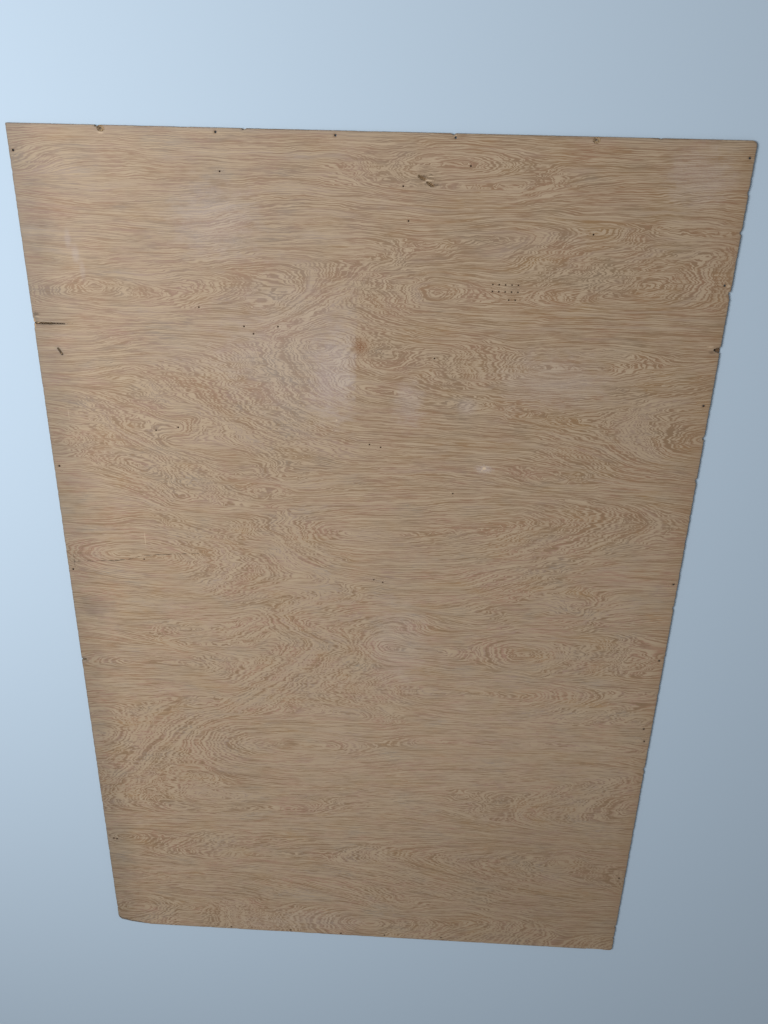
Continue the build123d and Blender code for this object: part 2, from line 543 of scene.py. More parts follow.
for triangle, kind in zip(triangles, under):
    if kind:
        level, slot = (FACE_TOP, FACE_SLOT) if kind == FACE else (CORE_TOP, CORE_SLOT)
        add_face(slot, *[point(i, level) for i in triangle])
face_edges = set(face_border)
for a, b in board_border:
    add_side(a, b, 0, FACE_TOP if (a, b) in face_edges else CORE_TOP)
for a, b in face_edges - set(board_border):
    add_side(a, b, CORE_TOP, FACE_TOP)
print("points:", len(verts), "faces on top and down the sides:", len(faces))

# %% [markdown]
# ### The underside
#
# The underside needs far fewer triangles, so it is filled anew from the same border points,
# with a coarser net between them.

# %% Underside
back_step, clear_of_border = 12.0, 4
border_ids = sorted(into_board)
number_of = {identity: k for k, identity in enumerate(border_ids)}
under_points = [tuple(flat[i]) for i in border_ids]
under_edges = [(number_of[a], number_of[b]) for a, b in board_border]
border_tree = tree_of(under_points)
loose = [
    tuple(p) for p in grid(low[0] + 6, high[0] - 5, low[1] + 6, high[1] - 5, back_step, 2.0, 7)
    if distance(border_tree, *p) > clear_of_border
]
under_net = fill(under_points + loose, under_edges)
under_flat, under_triangles = under_net[:2]
loose_ids = {}
for triangle in under_triangles[sort_out(*under_net) != NOTHING]:
    corners = []
    for k in triangle:
        if k < len(border_ids):
            corners.append(point(border_ids[k], 0))
        else:
            if k not in loose_ids:
                loose_ids[k] = len(verts)
                verts.append((*under_flat[k], 0.0))
            corners.append(loose_ids[k])
    add_face(BACK_SLOT, *corners[::-1])
print("triangles underneath:", slots.count(BACK_SLOT))

# %% [markdown]
# ## The figure of the veneer
#
# The veneer was peeled from the turning log, so its face cuts slantwise through the growth
# rings and they show as a map of flames, eyes and long tongues. The best way to say such a
# map is the way a map maker does: a few level lines drawn, each with the number of its ring,
# and a smooth surface through them. The number is kept at every point of the mesh as an
# attribute, and the material reads it and paints the rings.

# %% Level lines: the ring's number, then points from the left and top edges
level_lines = [
    # top, and the first ridge
    (0, [(0, 0), (200, 0), (400, 0), (600, 0), (813, 0)]),
    (5, [(0, 45), (45, 28), (90, 24), (200, 28), (300, 28), (370, 24)]),
    (4.5, [(470, 58), (425, 52), (404, 44), (430, 29), (480, 14), (540, 18), (575, 26), (566, 40),
         (590, 52), (560, 60), (500, 60)]),
    (6.5, [(450, 38), (520, 36)]),
    (4, [(620, 22), (660, 26), (720, 24), (813, 22)]),
    (10, [(0, 68), (50, 72), (100, 75), (180, 73), (230, 68), (300, 62), (400, 66), (480, 72),
         (560, 70), (640, 62), (720, 58), (813, 54)]),
    (15, [(0, 86), (50, 90), (120, 94), (180, 95), (220, 92), (260, 84), (330, 78), (420, 84),
         (480, 88), (540, 82), (600, 80)]),
    (13, [(640, 78), (700, 76), (760, 74), (813, 78)]),
    (20, [(0, 108), (60, 110), (130, 113), (200, 113), (250, 106), (330, 100), (420, 102),
         (450, 104)]),
    (22, [(393, 108), (440, 110), (479, 116), (440, 119)]),
    (24, [(0, 130), (60, 133), (130, 132), (200, 130), (260, 122), (330, 116), (380, 116)]),
    (21, [(480, 106), (540, 104), (572, 108), (540, 116), (500, 122), (474, 130), (440, 136),
         (415, 145), (402, 158), (394, 170), (404, 183), (422, 195), (450, 203), (500, 208),
         (560, 212), (640, 212), (700, 212), (813, 214)]),
    (28, [(0, 152), (60, 154), (130, 148), (200, 142), (250, 136), (300, 131), (350, 133),
         (385, 138), (372, 150), (350, 168), (322, 190), (295, 205), (262, 212), (200, 212),
         (140, 214), (60, 212), (0, 212)]),
    (31, [(75, 160), (110, 165), (150, 171), (183, 178), (150, 190), (100, 194), (50, 190)]),
    (30, [(250, 152), (290, 161), (322, 172), (300, 182), (250, 190), (200, 194)]),
    # first valley: the round eye at the upper right, and the flames
    (25, [(430, 133), (402, 151), (385, 168), (355, 186), (318, 203), (287, 220), (304, 212),
         (345, 198), (385, 200), (420, 213), (470, 223), (520, 224), (544, 236), (552, 260),
         (575, 276), (620, 277), (700, 272), (813, 252)]),
    (18, [(665, 94), (645, 97), (622, 108), (602, 121), (590, 135), (560, 146), (500, 143),
         (440, 148), (420, 154), (412, 166), (424, 182), (440, 192), (480, 198), (560, 200),
         (640, 201), (700, 201), (813, 203)]),
    (15, [(712, 98), (700, 112), (680, 117), (645, 125), (625, 138), (602, 148), (575, 158),
         (540, 156), (500, 150), (470, 149), (449, 158), (444, 170), (456, 184), (490, 191),
         (540, 191), (600, 190), (700, 190), (813, 192)]),
    (12, [(480, 158), (505, 160), (511, 169), (490, 180), (466, 180), (458, 171), (466, 160),
         (480, 158)]),
    (10, [(483, 170)]),
    (19, [(560, 90), (590, 93), (618, 98), (607, 112), (585, 124)]),
    (12, [(790, 112), (745, 118), (722, 130), (695, 138), (675, 152), (652, 163), (622, 172),
         (652, 180), (700, 182), (760, 178)]),
    (10, [(742, 138), (712, 146), (690, 156), (664, 168), (700, 172), (735, 166)]),
    (11, [(762, 132), (774, 150), (756, 168)]),
    (13, [(800, 135), (804, 160)]),
    (16, [(700, 94), (760, 100), (813, 104)]),
    # the lens below it
    (24, [(720, 244), (650, 238), (600, 238), (580, 243), (571, 253), (580, 263), (604, 267),
         (660, 265), (720, 256), (760, 250), (720, 244)]),
    (22.5, [(610, 252), (690, 252)]),
    (27, [(393, 246), (410, 258), (430, 264), (450, 258), (466, 246), (485, 240), (497, 252),
         (507, 270), (525, 279), (560, 285), (610, 287), (700, 282), (813, 264)]),
    (28, [(393, 262), (425, 272), (455, 266), (472, 272), (500, 286), (560, 296)]),
    # second ridge, with the rings at the right edge
    (30, [(330, 232), (365, 236)]),
    (29, [(813, 276), (745, 289), (720, 296), (690, 305), (640, 310), (602, 315), (640, 322),
         (690, 331), (714, 350), (735, 361), (770, 371), (813, 374)]),
    (31, [(813, 292), (770, 299), (752, 315), (752, 338), (766, 356), (813, 365)]),
    (33, [(813, 312), (780, 320), (769, 338), (782, 352), (813, 356)]),
    (35, [(813, 336)]),
    (30, [(400, 285), (470, 296), (510, 302)]),
    # long slope down to the great oval
    (24, [(0, 234), (60, 238), (130, 226), (200, 226), (250, 230), (274, 240), (286, 258),
         (302, 284), (330, 306), (380, 322), (450, 327), (540, 331), (600, 335), (640, 341),
         (690, 354), (730, 372), (813, 386)]),
    (19, [(0, 262), (60, 258), (120, 252), (160, 250), (205, 256), (232, 268), (262, 292),
         (290, 318), (330, 338), (393, 350), (450, 353), (530, 355), (600, 358), (640, 368),
         (680, 384), (710, 394), (750, 398), (813, 400)]),
    (14.5, [(0, 284), (50, 284), (90, 277), (116, 270), (142, 281), (170, 300), (188, 311),
         (215, 326), (250, 341), (290, 362), (330, 380), (393, 388), (460, 385), (540, 385),
         (580, 390)]),
    (16, [(670, 387), (618, 387), (605, 395), (622, 403), (680, 401)]),
    (14, [(700, 404), (760, 407), (813, 410)]),
    (12.5, [(150, 328), (190, 324), (214, 334), (196, 343), (210, 352), (190, 362), (150, 364)]),
    (11, [(80, 318), (130, 334), (168, 345), (140, 354), (100, 348)]),
    (10, [(180, 386), (202, 396), (230, 401), (246, 407), (262, 402), (278, 414), (312, 419),
         (350, 413), (400, 406), (470, 402), (540, 405), (640, 414), (720, 418), (813, 428)]),
    (5, [(60, 345), (90, 368), (130, 386), (162, 404), (172, 420), (205, 437), (230, 450),
         (290, 450), (350, 446), (420, 441), (480, 437), (530, 431), (580, 428), (630, 430),
         (668, 436), (690, 450), (676, 461), (655, 470), (625, 486), (600, 502), (560, 512),
         (500, 518), (430, 522), (385, 527), (362, 520), (335, 511), (319, 499), (310, 482),
         (298, 468), (302, 458), (335, 452)]),
    (3, [(600, 440), (560, 446), (480, 452), (393, 457), (335, 463), (320, 472), (326, 490),
         (345, 503), (400, 511), (480, 507), (560, 496), (610, 476), (650, 457), (600, 440)]),
    (1, [(400, 474), (500, 470), (580, 462)]),
    (4.2, [(160, 446), (185, 444), (215, 448)]),
    (7.5, [(246, 427), (270, 418), (300, 424), (290, 434), (262, 438), (246, 427)]),
    (6, [(268, 428)]),
    (6, [(550, 420), (620, 420), (670, 426), (698, 435), (716, 448), (698, 462), (650, 488),
         (620, 508)]),
    (7, [(690, 428), (720, 436), (746, 450), (716, 466), (670, 492)]),
    (8, [(720, 428), (748, 438), (768, 455), (736, 474), (690, 496)]),
    (9, [(750, 428), (776, 440), (792, 460), (760, 476)]),
    # left side: small tongue, then the oval round the crack
    (4, [(0, 345), (30, 350), (57, 371), (44, 385), (18, 394)]),
    (3, [(10, 370), (30, 371)]),
    (7, [(0, 430), (60, 430), (110, 440), (150, 457), (228, 456), (290, 459)]),
    (11, [(0, 470), (60, 468), (110, 462), (132, 465), (148, 476), (185, 486), (212, 496),
         (236, 511), (262, 517), (285, 535), (306, 546), (328, 547), (290, 557), (262, 566),
         (245, 574), (215, 584), (180, 590), (120, 588), (60, 584), (0, 580)]),
    (9, [(250, 488), (290, 500), (310, 522), (345, 538), (400, 548), (460, 552), (530, 545),
         (570, 532), (640, 513), (690, 500), (760, 482), (813, 468)]),
    (15, [(0, 500), (60, 496), (110, 494), (155, 500), (190, 514), (205, 532), (198, 550),
         (170, 566), (110, 568), (40, 562)]),
    (19, [(60, 508), (30, 515), (15, 527), (40, 544), (100, 550), (150, 548), (182, 534),
         (150, 514), (100, 506), (60, 508)]),
    (22, [(60, 528), (120, 528)]),
    (13, [(225, 518), (232, 536), (218, 556), (190, 576)]),
    # vase and lenses at the right
    (12, [(813, 500), (760, 503), (700, 512), (650, 525), (620, 540), (590, 551), (560, 563),
         (520, 570), (450, 572), (400, 572)]),
    (10, [(380, 574), (340, 587), (300, 602), (288, 616), (306, 634), (340, 654), (322, 676),
         (302, 698), (258, 733), (200, 770), (150, 789), (105, 830), (62, 880), (20, 925)]),
    (14, [(813, 530), (770, 529), (720, 527), (680, 532), (650, 541), (630, 551), (600, 562),
         (570, 571), (530, 580), (500, 588), (440, 592), (390, 597), (345, 607), (306, 620),
         (322, 636), (350, 648), (382, 662), (354, 674), (338, 692), (306, 718), (262, 750),
         (212, 784), (165, 802), (122, 850), (80, 895), (44, 938), (54, 962), (90, 976), (200, 973),
         (320, 962)]),
    (15, [(690, 543), (655, 552), (610, 566), (660, 566), (700, 575), (692, 588), (668, 573),
         (620, 572), (560, 584), (530, 594)]),
    (16, [(745, 548), (705, 556)]),
    (16, [(640, 589), (590, 594)]),
    (17, [(813, 556), (760, 560), (730, 568), (702, 586), (680, 598), (640, 606), (600, 609),
         (560, 616), (520, 610), (480, 600), (450, 598)]),
    (20, [(813, 590), (760, 596), (720, 606), (680, 618), (620, 619), (560, 628), (520, 634),
         (480, 633), (466, 622), (448, 608), (410, 620), (392, 640), (400, 668), (420, 690)]),
    # chevrons
    (26, [(600, 645), (640, 646), (652, 656), (640, 668), (600, 672)]),
    (24, [(630, 636), (668, 642), (682, 656), (664, 672), (630, 682)]),
    (22.5, [(700, 632), (712, 654), (690, 676), (640, 694)]),
    (23, [(480, 650), (540, 652), (560, 668), (510, 672)]),
    (21, [(813, 640), (760, 642), (748, 660), (760, 690), (813, 690)]),
    (20, [(460, 690), (440, 694), (404, 706), (389, 727), (402, 747), (432, 759), (480, 767),
         (560, 771), (630, 767), (680, 757), (712, 743), (760, 730), (813, 722)]),
    # great lens low on the right
    (18, [(660, 707), (540, 705), (470, 706), (441, 713), (425, 726), (440, 741), (480, 752),
         (560, 757), (620, 752), (665, 744), (690, 734), (700, 720), (660, 707)]),
    (16, [(560, 716), (480, 717), (460, 728), (490, 738), (560, 738), (610, 730)]),
    (20, [(520, 696), (600, 696), (700, 702), (813, 706)]),
    # left of the middle
    (8, [(0, 602), (60, 604), (120, 606), (200, 604), (250, 596), (300, 582)]),
    (4, [(0, 640), (90, 648), (130, 654), (170, 652), (206, 643), (236, 630), (256, 616)]),
    (6, [(150, 666), (200, 662), (242, 647), (266, 632), (280, 640), (296, 662), (280, 686),
         (252, 708), (215, 729), (150, 731), (60, 738), (0, 745)]),
    (2, [(0, 676), (60, 676), (130, 677), (170, 681), (194, 692), (206, 706), (180, 716),
         (100, 718), (0, 720)]),
    (0, [(60, 700), (140, 698), (168, 702)]),
    (9, [(0, 768), (90, 758), (150, 750), (190, 752), (200, 760), (170, 774), (128, 782), (96, 806),
         (56, 850), (16, 890)]),
    (10, [(0, 800), (36, 800), (48, 816), (42, 836), (26, 850)]),
    # eye at the lower left, and the ridge that runs right from it
    (17, [(400, 777), (340, 777), (280, 784), (230, 788), (190, 797), (160, 815), (148, 838),
         (156, 862), (176, 882), (240, 896), (320, 898), (400, 892), (500, 884), (600, 876),
         (680, 864), (740, 856), (785, 859), (802, 868), (780, 884), (740, 904), (702, 928),
         (684, 942), (702, 955), (740, 961), (813, 958)]),
    (20, [(420, 790), (330, 792), (250, 796), (208, 804), (182, 818), (171, 838), (179, 856),
         (205, 870), (260, 878), (340, 875), (420, 868), (500, 856), (600, 848), (700, 842),
         (780, 844), (813, 850)]),
    (23, [(400, 808), (330, 804), (260, 808), (215, 816), (198, 836), (215, 854), (262, 862),
         (330, 860), (400, 851), (450, 842), (550, 834), (650, 828), (720, 825), (790, 830),
         (813, 836)]),
    (26, [(290, 836), (360, 832)]),
    (25, [(480, 812), (600, 806), (700, 806), (780, 812)]),
    (21, [(480, 786), (560, 787), (700, 785), (813, 784)]),
    (14, [(150, 889), (165, 900), (156, 914), (136, 922), (133, 944), (180, 947), (240, 936),
         (330, 932), (420, 922), (500, 914), (560, 908)]),
    (15, [(200, 915), (300, 914), (400, 905)]),
    # S-bends at the lower right
    (15, [(560, 894), (640, 884), (700, 874), (750, 872), (720, 888), (680, 907), (650, 925),
         (638, 943), (660, 958), (720, 969), (813, 970)]),
    (13, [(560, 906), (620, 899), (660, 893), (690, 890), (664, 905), (644, 918), (625, 936),
         (600, 954), (560, 948), (500, 936), (420, 940)]),
    (20, [(813, 890), (784, 897), (760, 918), (744, 945), (770, 952), (813, 946)]),
    # long tongues pointing left
    (10, [(0, 990), (100, 985), (200, 980), (300, 976), (400, 970), (500, 974), (600, 978),
         (700, 983), (813, 984)]),
    (6, [(0, 1004), (60, 1001), (150, 995), (290, 988), (400, 988), (500, 988), (600, 990),
         (700, 995), (813, 998)]),
    (4, [(310, 998), (200, 1003), (140, 1012), (96, 1030), (75, 1053), (100, 1065), (150, 1070),
         (250, 1076), (360, 1078)]),
    (3, [(420, 1006), (310, 1010), (230, 1025), (180, 1042), (158, 1058), (180, 1066), (240, 1070),
         (320, 1068)]),
    (2, [(440, 1013), (400, 1024), (372, 1036), (352, 1048), (372, 1060), (430, 1068), (480, 1082),
         (560, 1104), (640, 1122), (720, 1128), (813, 1130)]),
    (0, [(600, 1010), (560, 1014), (490, 1020), (447, 1035), (470, 1048), (500, 1060), (560, 1077),
         (620, 1092), (660, 1101), (720, 1107), (813, 1112)]),
    (-1.5, [(620, 1018), (580, 1022), (530, 1027), (513, 1040), (530, 1053), (600, 1076),
         (680, 1094), (750, 1099), (813, 1103)]),
    (-4, [(720, 1012), (660, 1022), (626, 1040), (634, 1058), (680, 1078), (740, 1090)]),
    (-6, [(813, 1030), (772, 1038), (741, 1058), (762, 1074), (813, 1090)]),
    (-7.5, [(813, 1060)]),
    (5, [(360, 1088), (430, 1104), (480, 1116), (560, 1132), (640, 1146), (700, 1154),
         (813, 1150)]),
    (8, [(0, 1096), (100, 1092), (200, 1094), (260, 1102), (330, 1120), (380, 1130), (420, 1144),
         (470, 1158)]),
    (12, [(380, 1152), (450, 1164), (512, 1172), (534, 1188), (520, 1202), (498, 1216)]),
    (10, [(580, 1158), (610, 1164), (624, 1176), (606, 1192), (584, 1205)]),
    (8, [(620, 1158), (655, 1164), (670, 1176), (652, 1192), (640, 1210)]),
    (12, [(0, 1140), (100, 1140), (160, 1145), (205, 1152), (228, 1170), (236, 1192), (228, 1216)]),
    (15, [(120, 1160), (160, 1166), (173, 1190), (168, 1214)]),
    (16, [(50, 1152), (80, 1160), (106, 1168), (96, 1186), (82, 1198), (60, 1216)]),
    (18, [(20, 1185), (50, 1186)]),
    (7, [(813, 1180), (760, 1190), (720, 1208)]),
]

# %% A smooth surface through the lines
line_step = 30.0
plate_unit = 100
down_the_sheet = 2.0  # across the grain the figure changes faster than along it
slack = 1.5e-3


def resampled(points):
    """A drawn line as points about line_step apart on a smooth curve."""
    points = np.array(points, float)
    if len(points) == 1:
        return points
    p = np.vstack([2 * points[0] - points[1], points, 2 * points[-1] - points[-2]])
    out = []
    for a, b, c, d in zip(p, p[1:], p[2:], p[3:]):
        count = max(1, math.ceil(np.hypot(*((c - b) * [1, 1.5])) / line_step))
        for t in np.arange(count) / count:
            square, cube = 2 * a - 5 * b + 4 * c - d, 3 * b - a - 3 * c + d
            out.append(0.5 * (2 * b + (c - a) * t + square * t**2 + cube * t**3))
    return np.array(out + [points[-1]])


def bend(a, b):
    """The thin plate's kernel between two sets of points."""
    d = (a**2).sum(axis=1)[:, None] + (b**2).sum(axis=1)[None] - 2 * a @ b.T
    d = np.maximum(d, 1e-12)
    return 0.5 * d * np.log(d)


drawn = [resampled(points) for ring, points in level_lines]
rings = np.concatenate([[ring] * len(points) for (ring, _), points in zip(level_lines, drawn)])
anchors = np.vstack(drawn) / plate_unit * [1, down_the_sheet]
size = len(anchors)
plate = np.zeros((size + 3, size + 3))
plate[:size, :size] = bend(anchors, anchors) + slack * np.eye(size)
plate[:size, size] = plate[size, :size] = 1
plate[:size, size + 1:] = anchors
plate[size + 1:, :size] = anchors.T
weights = np.linalg.solve(plate, np.append(rings, [0, 0, 0]))

net_step = 5.0
net_x = np.arange(-net_step, high[0] - low[0] + 2 * net_step, net_step)
net_y = np.arange(-net_step, high[1] - low[1] + 2 * net_step, net_step)
places = np.array([(a, b) for b in net_y for a in net_x]) / plate_unit * [1, down_the_sheet]
rows = [
    bend(part, anchors) @ weights[:size] + weights[size] + part @ weights[size + 1:]
    for part in np.array_split(places, 16)
]
ring_net = np.concatenate(rows).reshape(len(net_y), len(net_x))
down_slope, side_slope = np.gradient(ring_net, net_step)
flame = 3.0
steepness = np.hypot(down_slope, flame * side_slope)
print("points on the level lines:", size, "ring spacing, mm:", round(1 / np.median(steepness), 1))


def read_net(net, across, down):
    """Values of a net at places given from the left and top edges."""
    u, v = (across - net_x[0]) / net_step, (down - net_y[0]) / net_step
    i, j = np.floor(u).astype(int), np.floor(v).astype(int)
    u, v = u - i, v - j
    upper = net[j, i] * (1 - u) + net[j, i + 1] * u
    lower = net[j + 1, i] * (1 - u) + net[j + 1, i + 1] * u
    return upper * (1 - v) + lower * v


# %% The sheet's mesh
sharp_angle = math.radians(35)
place = np.array(verts)
mesh = bpy.data.meshes.new("worn_sheet")
mesh.from_pydata([tuple(v) for v in place * MM], [], faces)
mesh.polygons.foreach_set("material_index", slots)
mesh.polygons.foreach_set("use_smooth", [True] * len(faces))
mesh.set_sharp_from_angle(angle=sharp_angle)


def put_in_scene(name, data):
    made = bpy.data.objects.new(name, data)
    bpy.context.scene.collection.objects.link(made)
    return made


worn_sheet = put_in_scene("worn_sheet", mesh)

# %% What the mesh's points know
far_enough = 60.0
pin_falloff = 1.9
full_crack = 0.12


def tell(name, values):
    layer = mesh.attributes.new(name, "FLOAT", "POINT")
    layer.data.foreach_set("value", np.asarray(values, np.float32))


def from_nail(x, y):
    """The distance to the nearest hole's rim, which grows faster round a thin pin."""
    falloff = pin_falloff if nearest_hole(x, y)[0]["pin"] else 1.0
    return min(far_enough, distance(nail_points, x, y) * falloff)


# The underside's figure is the face's, turned half round
underneath = place[:, 2] < veneer
across, down = place[:, 0] - low[0], high[1] - place[:, 1]
across = np.where(underneath, high[0] - low[0] - across, across)
down = np.where(underneath, high[1] - low[1] - down, down)
tell("ring", read_net(ring_net, across, down))
tell("steepness", read_net(steepness, across, down))
tell("side_slope", read_net(side_slope, across, down))
tell("rim", [min(far_enough, distance(edge_points, x, y)) for x, y, z in verts])
tell("nail", [from_nail(x, y) for x, y, z in verts])
cracked = np.zeros(len(verts))
for identity, drop in bed_drop.items():
    cracked[made_at[identity, FACE_TOP]] = min(1.0, drop / full_crack)
tell("crack", cracked)
print("attributes:", [a.name for a in mesh.attributes if a.data_type == "FLOAT"])

# %% Is the mesh closed?
check = bmesh.new()
check.from_mesh(mesh)
gaps = sum(len(edge.link_faces) != 2 for edge in check.edges)
print("triangles:", sum(len(f.verts) - 2 for f in check.faces), "open edges:", gaps)
print("volume, cm3:", round(check.calc_volume() * 1e6, 1))
check.free()

# %% [markdown]
# ## Node helpers
#
# A wood material is a long chain of small sums on noise. Short helpers keep the chains
# readable: each adds one node to a tree, feeds it, and gives back the socket that comes out.

# %% Helpers for node trees
def feed(tree, socket, value):
    if isinstance(value, bpy.types.NodeSocket):
        tree.links.new(value, socket)
    elif value is not None:
        socket.default_value = value


def calculate(tree, kind, operation, values):
    node = tree.nodes.new(kind)
    node.operation = operation
    for socket, value in zip(node.inputs, values):
        feed(tree, socket, value)
    return node.outputs


def sums(tree, operation, a, b=None, c=None):
    return calculate(tree, "ShaderNodeMath", operation, (a, b, c))[0]


def vector_sums(tree, operation, *values):
    return calculate(tree, "ShaderNodeVectorMath", operation, values)[0]


def stretch(tree, vector, scale, shift=(0, 0, 0)):
    """The vector times one scale for each axis, plus a shift."""
    return vector_sums(tree, "MULTIPLY_ADD", vector, scale, shift)


def length_of(tree, vector):
    return calculate(tree, "ShaderNodeVectorMath", "LENGTH", (vector,))["Value"]


def axes_of(tree, vector):
    node = tree.nodes.new("ShaderNodeSeparateXYZ")
    feed(tree, node.inputs[0], vector)
    return node.outputs


def vector_from(tree, *parts):
    node = tree.nodes.new("ShaderNodeCombineXYZ")
    for socket, value in zip(node.inputs, parts):
        feed(tree, socket, value)
    return node.outputs[0]


def noise(tree, vector, detail=2.0, roughness=0.5, flat=False):
    """Noise with its middle at 0 and most of its values within -1 and 1."""
    node = tree.nodes.new("ShaderNodeTexNoise")
    node.noise_dimensions = "2D" if flat else "3D"
    feed(tree, node.inputs["Vector"], vector)
    node.inputs["Scale"].default_value = 1.0
    node.inputs["Detail"].default_value = detail
    node.inputs["Roughness"].default_value = roughness
    return sums(tree, "MULTIPLY_ADD", node.outputs[0], 4.0, -2.0)


def ramp(tree, value, start, end, to_start=0.0, to_end=1.0):
    """A smooth step from to_start to to_end as the value goes from start to end."""
    node = tree.nodes.new("ShaderNodeMapRange")
    node.interpolation_type = "SMOOTHSTEP"
    names = ("Value", "From Min", "From Max", "To Min", "To Max")
    for name, what in zip(names, (value, start, end, to_start, to_end)):
        feed(tree, node.inputs[name], what)
    return node.outputs[0]


def blend(tree, share, a, b, how="MIX"):
    """Colour a turned into colour b by a share."""
    node = tree.nodes.new("ShaderNodeMix")
    node.data_type, node.blend_type = "RGBA", how
    for number, value in ((0, share), (6, a), (7, b)):
        feed(tree, node.inputs[number], value)
    return node.outputs[2]


def paint(*seen):
    """A colour seen as 0 to 255 values, as the linear one that a shader wants."""
    return tuple(
        v / 255 / 12.92 if v <= 10 else ((v / 255 + 0.055) / 1.055) ** 2.4 for v in seen
    ) + (1.0,)


def between(tree, tone, low_colour, high_colour, reach=1.0):
    """One colour where a tone is low, turning into another where it is high."""
    return blend(tree, ramp(tree, tone, -reach, reach), paint(*low_colour), paint(*high_colour))


def new_group(name, inputs, outputs):
    """A shader node group: its tree, its inputs by name, and the node that takes its outputs."""
    tree = bpy.data.node_groups.new(name, "ShaderNodeTree")
    for label, kind, value in inputs:
        socket = tree.interface.new_socket(label, in_out="INPUT", socket_type=kind)
        socket.default_value = value
    for label, kind in outputs:
        tree.interface.new_socket(label, in_out="OUTPUT", socket_type=kind)
    source = tree.nodes.new("NodeGroupInput").outputs
    given = {socket.name: socket for socket in source if socket.name}
    return tree, given, tree.nodes.new("NodeGroupOutput")


def use(tree, group, **values):
    """Places a group in a material. A name's underscores stand for its spaces."""
    node = tree.nodes.new("ShaderNodeGroup")
    node.node_tree = group
    for name, value in values.items():
        feed(tree, node.inputs[name.replace("_", " ")], value)
    return node.outputs


def attribute(tree, name):
    node = tree.nodes.new("ShaderNodeAttribute")
    node.attribute_name = name
    return node.outputs["Fac"]


def new_material(name):
    """A material: itself, its tree, its shader, and the place it paints in millimetres."""
    material = bpy.data.materials.new(name)
    material.use_nodes = True
    tree = material.node_tree
    place = tree.nodes.new("ShaderNodeTexCoord").outputs["Object"]
    here = stretch(tree, place, (1000.0, 1000.0, 1000.0))
    return material, tree, tree.nodes["Principled BSDF"], here


def bump(tree, shader, height, distance, strength=1.0):
    node = tree.nodes.new("ShaderNodeBump")
    node.inputs["Strength"].default_value = strength
    node.inputs["Distance"].default_value = distance
    feed(tree, node.inputs["Height"], height)
    feed(tree, shader.inputs["Normal"], node.outputs[0])


# %% [markdown]
# ## Effects that more than one finish uses
#
# Both veneers show growth rings, all three plies show fibres, and the face and the edges
# carry stains and patches of painted shade. So each of these is a node group with named
# inputs, placed with its own values in each material.

# %% Group: growth rings
NUMBER, VECTOR = "NodeSocketFloat", "NodeSocketVector"
flame_size, wave_size = (1 / 80, 1 / 6, 0.0), (1 / 60, 1 / 26, 0.0)
flame_length, wave_height = 6.0, 1.8
per_ring_steps = (0.66, 1.4, 3.0, 6.4, 13.5, 28.0, 60.0)
flattest = 0.004

growth_rings, given, result = new_group(
    "growth_rings",
    [("Ring", NUMBER, 0), ("Steepness", NUMBER, 0.1), ("Side slope", NUMBER, 0),
     ("Place", VECTOR, (0, 0, 0)), ("Waver", NUMBER, 1), ("Line width", NUMBER, 2.2),
     ("Pale lines", NUMBER, 1)],
    [("Tone", NUMBER), ("Pale line", NUMBER), ("Dark line", NUMBER), ("Zone", NUMBER)],
)
t = growth_rings
# Where a ring turns back it breaks up into long flat flames: each fibre is cut a little
# further along than the next
flames = noise(t, stretch(t, given["Place"], flame_size), 2.0, 0.6, flat=True)
flames = sums(t, "MULTIPLY", sums(t, "MULTIPLY", flames, flame_length), given["Side slope"])
wave = noise(t, stretch(t, given["Place"], wave_size), 3.0, 0.55, flat=True)
wave = sums(t, "MULTIPLY", sums(t, "MULTIPLY", wave, wave_height), given["Steepness"])
strayed = sums(t, "MULTIPLY", sums(t, "ADD", wave, flames), given["Waver"])
ring = sums(t, "ADD", strayed, given["Ring"])
sideways = axes_of(t, given["Place"])[0]


def lines(length, per_ring, shift, detail=0.0):
    """Lines that follow the rings, each a few lengths long."""
    at = vector_from(
        t, sums(t, "DIVIDE", sideways, length), sums(t, "MULTIPLY_ADD", ring, per_ring, shift)
    )
    return noise(t, at, detail, 0.6, flat=True)


# Each set of lines shows only where it is about as fine as the grain. A power of 1 draws
# dark lines on pale wood, and a higher one pale lines on dark wood
tone, spacing_here = None, sums(t, "DIVIDE", 1.0, sums(t, "MAXIMUM", given["Steepness"], flattest))
share_wanted = sums(t, "DIVIDE", spacing_here, given["Line width"])
power = given["Pale lines"]
for number, per_ring in enumerate(per_ring_steps):
    fineness = sums(t, "DIVIDE", share_wanted, per_ring)
    weight = ramp(t, fineness, 0.6, 1.0)
    if per_ring < per_ring_steps[-1]:
        weight = sums(t, "MULTIPLY", weight, ramp(t, fineness, 2.2, 1.4))
    drift = lines(110, per_ring * 0.4, 17.0 * number)
    phase = sums(t, "MULTIPLY", ring, per_ring * math.pi / 2)
    late_wood = sums(t, "MULTIPLY_ADD", drift, 1.0, phase)
    late_wood = sums(t, "POWER", sums(t, "ABSOLUTE", sums(t, "SINE", late_wood)), power)
    late_wood = sums(t, "MULTIPLY_ADD", late_wood, 2.2, sums(t, "MULTIPLY_ADD", power, 0.22, -1.57))
    late_wood = sums(t, "MINIMUM", late_wood, sums(t, "MULTIPLY_ADD", power, 0.7, -0.2))
    found = sums(t, "MULTIPLY_ADD", lines(70, per_ring * 1.6, 31.0 * number), 0.36, late_wood)
    tone = sums(t, "MULTIPLY_ADD", found, weight, tone)
patchy = lines(40, 0.6, 283.0, 1.0)
tone = sums(t, "MULTIPLY", tone, ramp(t, patchy, -0.9, 0.9, 0.7, 1.15))
zone = lines(130, 0.55, 333.0, 1.0)
tone = sums(t, "MULTIPLY_ADD", zone, 0.10, tone)
pale_line = sums(t, "MULTIPLY", ramp(t, tone, 0.8, 1.6), ramp(t, patchy, -0.2, 0.8))
